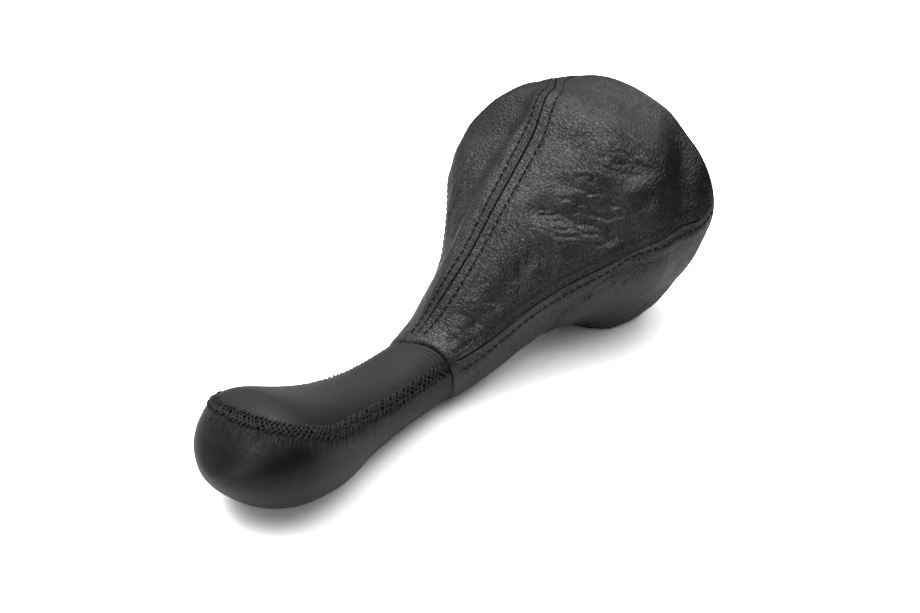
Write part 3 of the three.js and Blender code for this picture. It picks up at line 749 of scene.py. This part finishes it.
def woven(name, level):
    material, n, shader = new_material(name)
    sheet = n.sheet()
    warp = n.add("ShaderNodeTexWave", {"bands_direction": "X"}, Vector=sheet, Scale=420.0, Distortion=0.4)
    weft = n.add("ShaderNodeTexWave", {"bands_direction": "Y"}, Vector=sheet, Scale=420.0, Distortion=0.4)
    height = n.math("MULTIPLY", warp.outputs["Fac"], weft.outputs["Fac"])
    n.feed(shader.inputs["Base Color"], n.mix(height, grey(level * 0.6), grey(level * 1.3)))
    n.feed(shader.inputs["Normal"], n.bump(height, 0.15))
    shader.inputs["Roughness"].default_value = 0.85
    return material


GAITER_LEATHER_LOOK = leather(
    "gaiter_leather", level=0.014, roughness=0.29, shine=0.9, pebble=1.25, pebble_depth=0.17, crease_depth=3.4
)
KNOB_TOP_LOOK = leather(
    "knob_top_leather", level=0.01, roughness=0.44, shine=0.5, pebble=0.8, pebble_depth=0.03, crease_depth=0.5
)
# The belly cover is the knob's leather at half the top cover's colour level: painted shade on the head's
# front and underside.
KNOB_BELLY_SHADED_LOOK = leather(
    "knob_belly_leather_painted_shade",
    level=0.005,
    roughness=0.34,
    shine=0.5,
    pebble=0.8,
    pebble_depth=0.04,
    crease_depth=0.6,
    pucker_depth=2.4,
)
FLESH_LOOK = suede("leather_flesh_side", level=0.06)
THREAD_LOOK = thread("thread", level=0.008)
LACING_LOOK = thread("lacing", level=0.006)
TAPE_LOOK = woven("seam_tape", level=0.04)
MOULDING_LOOK = moulded("moulding", colour=(0.045, 0.046, 0.05, 1), roughness=0.5)
NYLON_LOOK = moulded("nylon", colour=(0.62, 0.6, 0.52, 1), roughness=0.42)


# Gaiter panels
seam_curves = [smooth_curve(GAITER_STATIONS, turns) for turns in SEAMS.values()]


def seam_turn(x, seam):
    lap, number = divmod(seam, len(seam_curves))
    return seam_curves[number](x) + 360 * lap


def panel_sweep(x, panel):
    return seam_turn(x, panel + 1) - seam_turn(x, panel)


def panel_width(x, panel):
    return gaiter_radius(x) * np.radians(panel_sweep(x, panel))


def band_width(x, panel):
    return np.minimum(BAND_WIDTH, panel_width(x, panel) * BAND_SHARE)


def place_turn(x, place, panel):
    """Turn of a place on a panel, counted in mm from its first join."""
    return seam_turn(x, panel) + panel_sweep(x, panel) * place / panel_width(x, panel)


def panel_places(x, panel):
    """Distances from a panel's first join, one row of columns for each x; the columns crowd at the joins."""
    width, band = panel_width(x, panel), band_width(x, panel)
    near_join = np.array(JOIN_COLUMNS) / JOIN_COLUMNS[-1]
    edge = JOIN_GAP / 2 + near_join[None] * ((band + BAND_EDGE) - JOIN_GAP / 2)[:, None]
    middle_count = odd(panel_width(MOUTH_AT - 20.0, panel) / COLUMN_STEP) - 2 * len(near_join)
    share = np.linspace(0, 1, middle_count + 2)[1:-1]
    start, end = edge[:, -1], width - edge[:, -1]
    middle = start[:, None] + share[None] * (end - start)[:, None]
    return np.concatenate([edge, middle, width[:, None] - edge[:, ::-1]], axis=1)


def arc_length_along(place, panel, x):
    """Length along a line of stitches at each x."""
    return run_along(gaiter_point(x, place_turn(x, place, panel)))


def stitch_offset(x, panel):
    """Distance of the topstitching from the join."""
    return STITCH_LINE * band_width(x, panel) / BAND_WIDTH


def noise(u, v, seed):
    """Smooth random field, about -0.7 to 0.7, with features about one unit across."""
    turns = np.random.default_rng(seed).uniform(0, 2 * math.pi, (NOISE_CELLS, NOISE_CELLS))
    i, j = np.floor(u).astype(int), np.floor(v).astype(int)
    du, dv = u - i, v - j
    ease_u, ease_v = (d**3 * (d * (d * 6 - 15) + 10) for d in (du, dv))

    def corner(a, b):
        turn = turns[(i + a) % NOISE_CELLS, (j + b) % NOISE_CELLS]
        return np.cos(turn) * (du - a) + np.sin(turn) * (dv - b)

    start = corner(0, 0) * (1 - ease_u) + corner(1, 0) * ease_u
    end = corner(0, 1) * (1 - ease_u) + corner(1, 1) * ease_u
    return start * (1 - ease_v) + end * ease_v


def crease_lines(u, v, seed, sharpness=0.2):
    """Narrow wandering valleys between smooth plateaus, from -1 in a valley to 0."""
    bend_u, bend_v = noise(u * 0.37, v * 0.37, seed + 1), noise(u * 0.37, v * 0.37, seed + 2)
    field = noise(u + 0.9 * bend_u, v + 0.9 * bend_v, seed)
    return -((1 - np.minimum(np.abs(field) / sharpness, 1)) ** 2)


def crease_line(along, across, length, seed, random):
    """A narrow valley between soft shoulders that wanders, fades and starts again; 0 away from it."""
    middle_at, reach = random.uniform(0.35, 0.65) * length, random.uniform(0.3, 0.55) * length
    wander = sum(
        far * noise(along / step, 0 * along + 0.5, seed + shift)
        for (far, step), shift in ((CREASE_WANDER, 0), (CREASE_JERKS, 3))
    )
    strength = np.clip(0.7 + 1.0 * noise(along / 6, 0 * along + 7.5, seed), 0.05, 1.2)
    fade = 1 - smoothstep((np.abs(along - middle_at) / reach - 0.55) / 0.6)
    away = np.abs(across - wander) / (CREASE_WIDTH * (0.75 + 0.5 * strength))
    shoulder = CREASE_SHOULDER["rise"] * bell(away - CREASE_SHOULDER["at"], CREASE_SHOULDER["width"])
    slope = CREASE_VALLEY["wide"] * bell(away, CREASE_VALLEY["width"])
    valley = CREASE_VALLEY["deep"] * bell(away, 1) + slope
    return strength * fade * (shoulder - valley)


def crease_height(x, turn):
    """Bundles of creases, each bundle in a soft trough with a crest beside it."""
    height = 0
    per_degree = gaiter_radius(x) * math.pi / 180
    for number, (start, end, lines, spacing, depth) in enumerate(CREASES):
        middle = float(gaiter_radius(RING_AT + (start[0] + end[0]) / 2)) * math.pi / 180
        ahead = np.array([end[0] - start[0], (end[1] - start[1]) * middle])
        length = np.hypot(*ahead)
        here_x, here_y = x - RING_AT - start[0], (np.mod(turn - start[1] + 180, 360) - 180) * per_degree
        along = (here_x * ahead[0] + here_y * ahead[1]) / length
        across = (here_y * ahead[0] - here_x * ahead[1]) / length
        random = np.random.default_rng(100 + number)
        for line in range(lines):
            offset = spacing * (line - (lines - 1) / 2 + random.uniform(-0.35, 0.35))
            seed = 200 + 10 * number + line
            height = height + depth * crease_line(along, across - offset, length, seed, random)
        step = across - BUNDLE_BEND[0] * noise(along / BUNDLE_BEND[1], 0 * along + 3.5, 100 + number)
        ends = smoothstep(along / 5 + 0.5) * smoothstep((length - along) / 5 + 0.5)
        trough = sum(rise * bell(step - at, width) for at, width, rise in (BUNDLE_TROUGH, BUNDLE_CREST))
        height = height - CREASE_TROUGH * depth * ends * trough
    return height


def wrinkle_height(x, place, seed):
    """Fine creases round the gaiter, gathered in patches."""

    def cells(size):
        return x / size[0], place / size[1]

    def wrinkles(kind, shift):
        return kind["depth"] * crease_lines(*cells(kind["size"]), seed + shift, kind["sharpness"])

    patches = smoothstep(noise(*cells(PATCH_SIZE), seed) * 1.6 + 0.55)
    swell = SWELLS["depth"] * noise(*cells(SWELLS["size"]), seed + 9)
    return patches * (wrinkles(FINE_WRINKLES, 3) + wrinkles(BROAD_WRINKLES, 6)) + swell


def seam_height(x, panel, place, width, row_lengths):
    """Relief beside the joins: rolled edges, the raised band over the allowance, and the pulled stitches."""
    height = np.zeros_like(place)
    band = band_width(x, panel)
    for side, length in enumerate(row_lengths):
        d = place if side == 0 else width - place
        scale = band / BAND_WIDTH
        d = d / scale
        phase = 2 * math.pi * length / STITCH_PITCH
        height += BAND_RISE * (1 - smoothstep((d - BAND_WIDTH) / BAND_EDGE))
        height += BEAD["rise"] * bell(d - BEAD["at"], BEAD["width"])
        height -= JOIN_GROOVE["depth"] * np.clip(1 - d / JOIN_GROOVE["width"], 0, 1) ** 2
        hole = STITCH_GROOVE["hole"] * (0.5 + 0.5 * np.cos(phase))
        height -= (STITCH_GROOVE["depth"] + hole) * bell(d - STITCH_LINE, STITCH_GROOVE["width"])
        height += STITCH_PUFF["rise"] * np.cos(phase) * bell(d - STITCH_LINE, STITCH_PUFF["width"])
    return height


def gaiter_panel(number, name):
    """One sewn panel: turned end at the neck, ring fold, face, and the mouth's turned-in hem."""
    flap_depth = SPIGOT_INSET - NECK_FIT
    fold_radius = (COLLAR_STEP + flap_depth) / 2
    fold_at = RING_AT + fold_radius
    x = np.linspace(fold_at, MOUTH_AT, odd((MOUTH_AT - fold_at) / ROW_STEP))
    places = panel_places(x, number)
    width = panel_width(x, number)[:, None]
    turn = place_turn(x[:, None], places, number)
    grid_x = np.broadcast_to(x[:, None], turn.shape)
    base = gaiter_point(grid_x, turn)
    normals = grid_normals(base)

    ends = smoothstep((grid_x - fold_at) / 4) * smoothstep((MOUTH_AT - grid_x) / 4)
    first_line = stitch_offset(x, number)
    lengths = [arc_length_along(line, number, x)[:, None] for line in (first_line, width[:, 0] - first_line)]
    relief = seam_height(grid_x, number, places, width, lengths)
    from_join = np.minimum(places, width - places)
    slack = smoothstep((from_join - 3) / 5)
    wrinkles = wrinkle_height(grid_x, places, 20 * (number + 1))
    relief = relief + slack * (wrinkles + crease_height(grid_x, turn))
    face = base + normals * (relief * ends)[..., None]
    face[..., 2] = np.maximum(face[..., 2], FLOOR)
    allowance = GAITER_LEATHER * (from_join < band_width(x, number)[:, None]) * ends
    inside = np.maximum(GAITER_LEATHER + allowance, 0.6 * GAITER_LEATHER - relief * ends)
    back = base - normals * inside[..., None]
    back[..., 2] = np.maximum(back[..., 2], FLOOR + GAITER_LEATHER / 2)

    def flap(depth):
        at = np.linspace(RING_AT + TURNED_END, fold_at, FLAP_ROWS)[:, None]
        return stem_point(np.broadcast_to(at, (FLAP_ROWS, turn.shape[1])), turn[:1], depth)

    def neck_fold(depth):
        outer, inner = base[0], stem_point(fold_at, turn[0], flap_depth)
        middle = (outer + inner) / 2
        half = np.linalg.norm(outer - middle, axis=-1)
        angles = np.radians(np.linspace(-90, 90, FOLD_ROWS + 2)[1:-1])[:, None]
        rise = (half - depth)[None] * np.sin(angles)
        p = middle[None] + unit(outer - middle)[None] * rise[..., None]
        p[..., 0] -= (fold_radius - depth) * np.cos(angles)
        return p

    def mouth_fold(depth):
        along = unit(base[-1] - base[-2])
        centre = base[-1] - normals[-1] * HEM_RADIUS
        angles = np.radians(np.linspace(0, 180, FOLD_ROWS + 2)[1:-1])[:, None, None]
        return centre + (HEM_RADIUS - depth) * (normals[-1] * np.cos(angles) + along * np.sin(angles))

    def hem(depth):
        rows = np.linspace(len(x) - 1, np.searchsorted(x, MOUTH_AT - HEM_DEPTH), HEM_ROWS).astype(int)
        return base[rows] - normals[rows] * (2 * HEM_RADIUS - depth)

    def whole(middle_part, depth):
        neck = [flap(flap_depth - depth), neck_fold(depth)]
        mouth = [mouth_fold(depth), hem(depth)]
        return lean(np.concatenate([*neck, middle_part, *mouth]))

    outer = whole(face, 0.0)
    inner = whole(back, GAITER_LEATHER)
    run = np.concatenate([[0], np.cumsum(mean_steps(outer))])
    mid = places - width / 2
    neck_part = np.repeat(mid[:1], FLAP_ROWS + FOLD_ROWS, 0)
    mouth_part = np.repeat(mid[-1:], FOLD_ROWS + HEM_ROWS, 0)
    across = np.concatenate([neck_part, mid, mouth_part])
    uv = np.stack([np.broadcast_to(run[:, None], across.shape), across], axis=-1)
    piece = sheet_object(f"panel_{name}", outer, inner, {"leather": uv}, [GAITER_LEATHER_LOOK, FLESH_LOOK])
    finish_piece(piece, "gaiter_leather", f"gaiter_{name}")
    rows_of_stitches(name, number, x, places, width, face, normals)


def rows_of_stitches(name, number, x, places, width, face, normals):
    """Topstitching along both edges of a panel, each stitch a short thread sunk at its ends."""
    columns = np.arange(places.shape[1])
    for side, label in enumerate(("first", "last")):
        offset = stitch_offset(x, number)
        wanted = offset if side == 0 else width[:, 0] - offset
        column = np.array([np.interp(w, row, columns) for w, row in zip(wanted, places)])
        low = np.clip(column.astype(int), 0, len(columns) - 2)
        share = (column - low)[:, None]
        index = np.arange(len(x))
        line = lean(face[index, low] * (1 - share) + face[index, low + 1] * share)
        up = unit(normals[index, low])
        run = run_along(line)
        starts = np.arange(STITCH_PITCH / 2 + 1.5, run[-1] - 2, STITCH_PITCH)
        steps = np.linspace(-0.5, 0.5, len(STITCH_SHAPE))
        at = starts[:, None] + steps[None] * STITCH_LENGTH
        path, normal = value_at(at, run, line), unit(value_at(at, run, up))
        lift = THREAD_RADIUS * (STITCH_LIFT - STITCH_SINK * steps**4)
        path = path + normal * lift[None, :, None]
        path[..., 2] = np.maximum(path[..., 2], FLOOR + THREAD_RADIUS)
        radii = THREAD_RADIUS * np.array(STITCH_SHAPE)
        stitches = cords_object(f"topstitch_{name}_{label}", path, normal, radii, 6, THREAD_LOOK)
        finish_piece(stitches, "thread")


def finish_piece(piece, slot, *nodes):
    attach(piece, "root")
    if nodes:
        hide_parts(*nodes)


def seam_tape(number, name):
    """Woven tape behind a join, under the turned seam allowances."""
    start = RING_AT + THROAT["span"] + 2 * BAND_WIDTH
    end = MOUTH_AT - HEM_DEPTH - BAND_EDGE - BAND_WIDTH
    x = np.linspace(start + 2, end - 2, TAPE_ROWS)
    band = BAND_WIDTH / (gaiter_radius(x) * math.pi / 180)
    reach = TAPE_WIDTH / 2 / BAND_WIDTH
    share = np.linspace(-reach, reach, TAPE_COLUMNS)
    turn = seam_turn(x, number)[:, None] + band[:, None] * share[None]
    grid_x = np.broadcast_to(x[:, None], turn.shape)
    base = gaiter_point(grid_x, turn)
    normals = grid_normals(base)
    depth = 2 * GAITER_LEATHER + FIT
    face, back = (lean(base - normals * d) for d in (depth, depth + TAPE_THICKNESS))
    uv = np.stack([grid_x, np.broadcast_to(share * BAND_WIDTH, turn.shape)], axis=-1)
    piece = sheet_object(f"tape_{name}", face, back, {"leather": uv}, [TAPE_LOOK, TAPE_LOOK])
    finish_piece(piece, "tape", f"seam_tape_{name}")


# Knob leather
def lacing_turn(x):
    """Turn at which the lacing crosses the knob's near side; 90 where the head's top is below it."""
    _, widest, top, _ = knob_section(x)
    climb = np.clip((lacing_height(x) - widest) / np.maximum(top - widest, 1e-6), 0, 1)
    return np.degrees(np.arcsin(climb ** (CROWN_ROUNDNESS / 2)))


def lacing_front():
    """Distance along the part at which the lacing crosses the head's top."""
    front, back = 0.0, float(HEAD_AT)
    for _ in range(HALVINGS):
        middle = (front + back) / 2
        if knob_section(middle)[2] < lacing_height(middle):
            front = middle
        else:
            back = middle
    return back


def lacing_line():
    """Points along the lacing, up the near side, over the head and back, evenly spaced, before the lean."""
    front = lacing_front()
    share = np.linspace(1, 0, LACING_SAMPLES // 3)
    x = front + (COVER_END_AT - 1 - front) * share**2
    near = knob_point(x, lacing_turn(x))
    far = near[-2::-1] * np.array([1, -1, 1])
    line = np.concatenate([near, far])
    run = run_along(line)
    return value_at(np.linspace(0, run[-1], LACING_SAMPLES), run, line), run[-1]


LINE_POINTS, LACING_LENGTH = lacing_line()


def near_lacing(p, far):
    """Distance of each point from the lacing on its own side, and how far along the lacing it is, in mm."""
    near = LINE_POINTS[::3]
    other_side = far[:, None] != (np.arange(len(near)) > len(near) / 2)[None]
    distance, along = [], []
    for row in p:
        apart = np.linalg.norm(row[:, None] - near[None], axis=-1) + KNOB_SPANS[0] * other_side
        index = apart.argmin(axis=1)
        distance.append(apart[np.arange(len(row)), index])
        along.append(index / (len(near) - 1) * LACING_LENGTH)
    return np.array(distance), np.array(along)


def value_noise(at, seed, step):
    """Smooth random numbers from -1 to 1 along a line."""
    knots = np.random.default_rng(seed).uniform(-1, 1, NOISE_KNOTS)
    t = at / step
    i = np.floor(t).astype(int)
    share = t - i
    share = share * share * (3 - 2 * share)
    return knots[i % NOISE_KNOTS] * (1 - share) + knots[(i + 1) % NOISE_KNOTS] * share


def knob_relief(distance, along, from_edge, x, name):
    """Leather pulled down under the lacing, puckered beside it, and creased before the ring seam."""
    cover = COVERS[name]
    height = -LACING_GROOVE["depth"] * bell(distance, LACING_GROOVE["width"])
    on_head = smoothstep((HEAD_END - x) / HEAD_FADE)
    reach = PUCKER_REACH[name]
    if name == "belly":
        reach = (reach + PUCKER_REACH["varies"] * value_noise(along, 5, 3.1)) * (0.45 + 0.55 * on_head)
    strength = cover["pucker"] * (0.35 + 0.65 * on_head)
    puckers = value_noise(along + 0.12 * distance, 7, 1.25) + 0.6 * value_noise(along, 9, 0.7)
    near = bell(distance, reach) * smoothstep((PUCKER_LENGTH - distance) / 4)
    height = height + strength * puckers * near * smoothstep(from_edge / 2)
    ring = COVER_END_AT - x
    arcs = noise(ring / 0.85, along / 11, 61) + 0.6 * crease_lines(ring / 1.6, along / 14, 62)
    return height + cover["crease"] * arcs * np.exp(-ring / cover["crease_reach"])


def knob_cover(name):
    """One piece of the knob's leather, from the lacing round to the lacing."""
    belly = name == "belly"
    front = lacing_front()
    stem = np.linspace(HEAD_AT, COVER_END_AT, odd((COVER_END_AT - HEAD_AT) / ROW_STEP))
    rise = front + (HEAD_AT - front) * np.linspace(0, 1, RISE_ROWS + 1)[:-1] ** RISE_CROWDING
    nose = front * (1 - np.cos(np.linspace(0, math.pi / 2, NOSE_ROWS + 1)[:-1]))
    x = np.concatenate([nose, rise, stem] if belly else [rise, stem])
    edge_turn = np.where(x < front, 90.0, lacing_turn(x))
    columns = np.linspace(0, 1, COVERS[name]["columns"])[None]
    if belly:
        turn = (180 - edge_turn)[:, None] + columns * (180 + 2 * edge_turn)[:, None]
    else:
        turn = edge_turn[:, None] + columns * (180 - 2 * edge_turn)[:, None]
    grid_x = np.broadcast_to(x[:, None], turn.shape)
    base = knob_point(grid_x, turn)
    probe = 0.05
    along = knob_point(grid_x + probe, turn) - knob_point(np.maximum(grid_x - probe, 0), turn)
    around = knob_point(grid_x, turn + 0.5) - knob_point(grid_x, turn - 0.5)
    normals = unit(np.cross(along, around))
    normals[grid_x[:, 0] < 0.01] = (-1, 0, 0)
    from_lacing, along_lacing = near_lacing(base, (columns[0] < 0.5) == belly)
    across = np.cumsum(np.linalg.norm(np.diff(base, axis=1, prepend=base[:, :1]), axis=-1), axis=1)
    from_edge = np.minimum(across, across[:, -1:] - across)
    relief = knob_relief(from_lacing, along_lacing, from_edge, grid_x, name)
    relief = relief * smoothstep((COVER_END_AT - grid_x) / 0.8 + 0.3)
    face = base + normals * relief[..., None]
    back = base - normals * np.maximum(COVER_LEATHER, 0.25 - relief)[..., None]
    face, back = (rolled(lean(p, KNOB_ROLL), KNOB_ROLL) for p in (face, back))
    face[..., 2] = np.maximum(face[..., 2], FLOOR)
    run = np.cumsum(np.linalg.norm(np.diff(base, axis=0, prepend=base[:1]), axis=-1).mean(axis=1))
    uv = np.stack([np.broadcast_to(run[:, None], across.shape), across - across[:, -1:] / 2], axis=-1)
    uvs = {"leather": uv, "lacing": np.stack([along_lacing, from_lacing], axis=-1)}
    # The belly cover's darker colour is painted shade.
    look = KNOB_BELLY_SHADED_LOOK if belly else KNOB_TOP_LOOK
    piece = sheet_object(f"{name}_leather", face, back, uvs, [look, FLESH_LOOK], weld=0.004)
    finish_piece(piece, "knob_leather", f"knob_{name}_cover")


def knob_lacing():
    """Two rows of stitches that cross the join and each other, over one edge and under the next strand."""
    run = np.linspace(0, LACING_LENGTH, len(LINE_POINTS))
    probe = knob_normals(LINE_POINTS)
    across = unit(np.cross(unit(np.gradient(LINE_POINTS, axis=0)), probe))
    count = int((LACING_LENGTH - 2) / LACING_PITCH)
    random = np.random.default_rng(4)
    steps = np.linspace(0, 1, LACING_POINTS)
    paths, ups = [], []
    for side in (-1, 1):
        starts = (np.arange(count) + (0.5 if side > 0 else 0)) * LACING_PITCH + 0.6
        for start, (slip, spread, rise) in zip(starts, random.normal(0, 1, (count, 3))):
            at = np.clip(start + LACING_SLIP * slip + steps * LACING_REACH, 0, LACING_LENGTH)
            normal, sideways = unit(value_at(at, run, probe)), unit(value_at(at, run, across))
            half = LACING_WIDTH / 2 + LACING_SLIP * spread
            offset = side * half * (1 - 2 * steps)
            weave = np.cos(3 * np.pi * (steps - (0.1 if side > 0 else 0.43)))
            lift = (LACING_WEAVE + 0.1 * rise) * weave + LACING_LIFT
            ends = np.clip(np.abs(steps - 0.5) * 2, 0, 1) ** 6
            p = settle(value_at(at, run, LINE_POINTS) + sideways * offset[:, None])
            paths.append(p + normal * (lift * (1 - ends) - LACING_SINK * ends)[:, None])
            ups.append(normal)
    paths = rolled(lean(np.array(paths), KNOB_ROLL), KNOB_ROLL)
    ups = rolled(np.array(ups), KNOB_ROLL)
    radii = np.full(LACING_POINTS, LACING_CORD)
    piece = cords_object("lacing_strands", paths, ups, radii, LACING_SIDES, LACING_LOOK)
    finish_piece(piece, "thread", "knob_lacing")


def knob_field(p):
    """Zero on the knob's surface, positive outside it."""
    half_width, widest, top, belly = knob_section(p[..., 0])
    crown = p[..., 2] > widest
    reach = np.where(crown, top - widest, widest - belly)
    power = np.where(crown, CROWN_ROUNDNESS, BELLY_ROUNDNESS)
    across = (np.abs(p[..., 1]) / half_width) ** power
    return across + (np.abs(p[..., 2] - widest) / reach) ** power - 1


def knob_slope(p):
    probe = 0.01
    here = knob_field(p)
    return np.stack([(knob_field(p + probe * axis) - here) / probe for axis in np.eye(3)], axis=-1)


def knob_normals(p):
    return unit(knob_slope(p))


def settle(p):
    """Points moved onto the knob's surface."""
    for _ in range(3):
        slope = knob_slope(p)
        p = p - slope * (knob_field(p) / (slope**2).sum(axis=-1))[..., None]
    return p


# Stage
def floor_material():
    """Matt white that the camera sees as bright as the photograph's overexposed table."""
    material, n, shader = new_material("floor")
    seen = n.add("ShaderNodeLightPath").outputs["Is Camera Ray"]
    away = n.vector("LENGTH", n.place(), result="Value")
    table = n.mix(n.span(away, *TABLE_EDGE), grey(TABLE_LEVEL), grey(BEYOND_TABLE_LEVEL))
    matt = n.add("ShaderNodeBsdfDiffuse")
    n.feed(matt.inputs["Color"], n.mix(seen, table, grey(TABLE_BRIGHTNESS)))
    n.feed(n.tree.nodes["Material Output"].inputs["Surface"], matt.outputs[0])
    n.tree.nodes.remove(shader)
    return material


def floor():
    bpy.ops.mesh.primitive_plane_add(size=8, location=(0, 0, -0.0002))
    plane = bpy.context.object
    plane.name = "floor"
    plane.data.materials.append(floor_material())


def toward(azimuth, elevation):
    """Direction so many degrees round from the near side and so many up."""
    turn, rise = math.radians(azimuth), math.radians(elevation)
    return (math.sin(turn) * math.cos(rise), -math.cos(turn) * math.cos(rise), math.sin(rise))


def world():
    """White to the camera; as light it is a dark studio with a few broad softboxes."""
    studio = bpy.data.worlds.new("studio")
    studio.use_nodes = True
    bpy.context.scene.world = studio
    n = Nodes(studio.node_tree)
    background = studio.node_tree.nodes["Background"]
    background.inputs["Color"].default_value = (1, 1, 1, 1)
    direction = n.add("ShaderNodeTexCoord").outputs["Generated"]
    light = STUDIO_DIMNESS
    for azimuth, elevation, strength in SOFTBOXES:
        aligned = n.vector("DOT_PRODUCT", direction, toward(azimuth, elevation), result="Value")
        fall = n.math("MULTIPLY_ADD", aligned, SOFTBOX_FOCUS, -SOFTBOX_FOCUS)
        light = n.math("MULTIPLY_ADD", n.math("EXPONENT", fall), strength, light)
    rays = n.add("ShaderNodeLightPath")
    shown = n.math("MAXIMUM", rays.outputs["Is Camera Ray"], rays.outputs["Is Transmission Ray"])
    n.feed(background.inputs["Strength"], n.math("MAXIMUM", shown, light))


def camera():
    """The photograph's view, from above the near side at the nose's end."""
    target = Vector(to_frame(CAMERA_TARGET))
    back = Vector(toward(CAMERA_AZIMUTH, CAMERA_ELEVATION))
    data = bpy.data.cameras.new("camera")
    data.sensor_width = SENSOR_WIDTH
    data.lens = CAMERA_FOCAL * SENSOR_WIDTH
    data.clip_start, data.clip_end = 0.01, 20
    viewer = bpy.data.objects.new("camera", data)
    bpy.context.scene.collection.objects.link(viewer)
    viewer.location = target + back * CAMERA_DISTANCE
    viewer.rotation_euler = (-back).to_track_quat("-Z", "Y").to_euler()
    bpy.context.scene.camera = viewer


def dress_node(node, material):
    solid = frame["nodes"][node]
    solid.data.materials.clear()
    solid.data.materials.append(material)


camera()
floor()
world()

for number, name in enumerate(PANELS):
    gaiter_panel(number, name)
for number, name in enumerate(SEAMS):
    seam_tape(number, name)
knob_cover("top")
knob_cover("belly")
knob_lacing()
dress_node("knob_core", MOULDING_LOOK)
dress_node("lever_bush", NYLON_LOOK)
dress_node("neck_tie", NYLON_LOOK)

bpy.context.scene.view_settings.view_transform = "Standard"
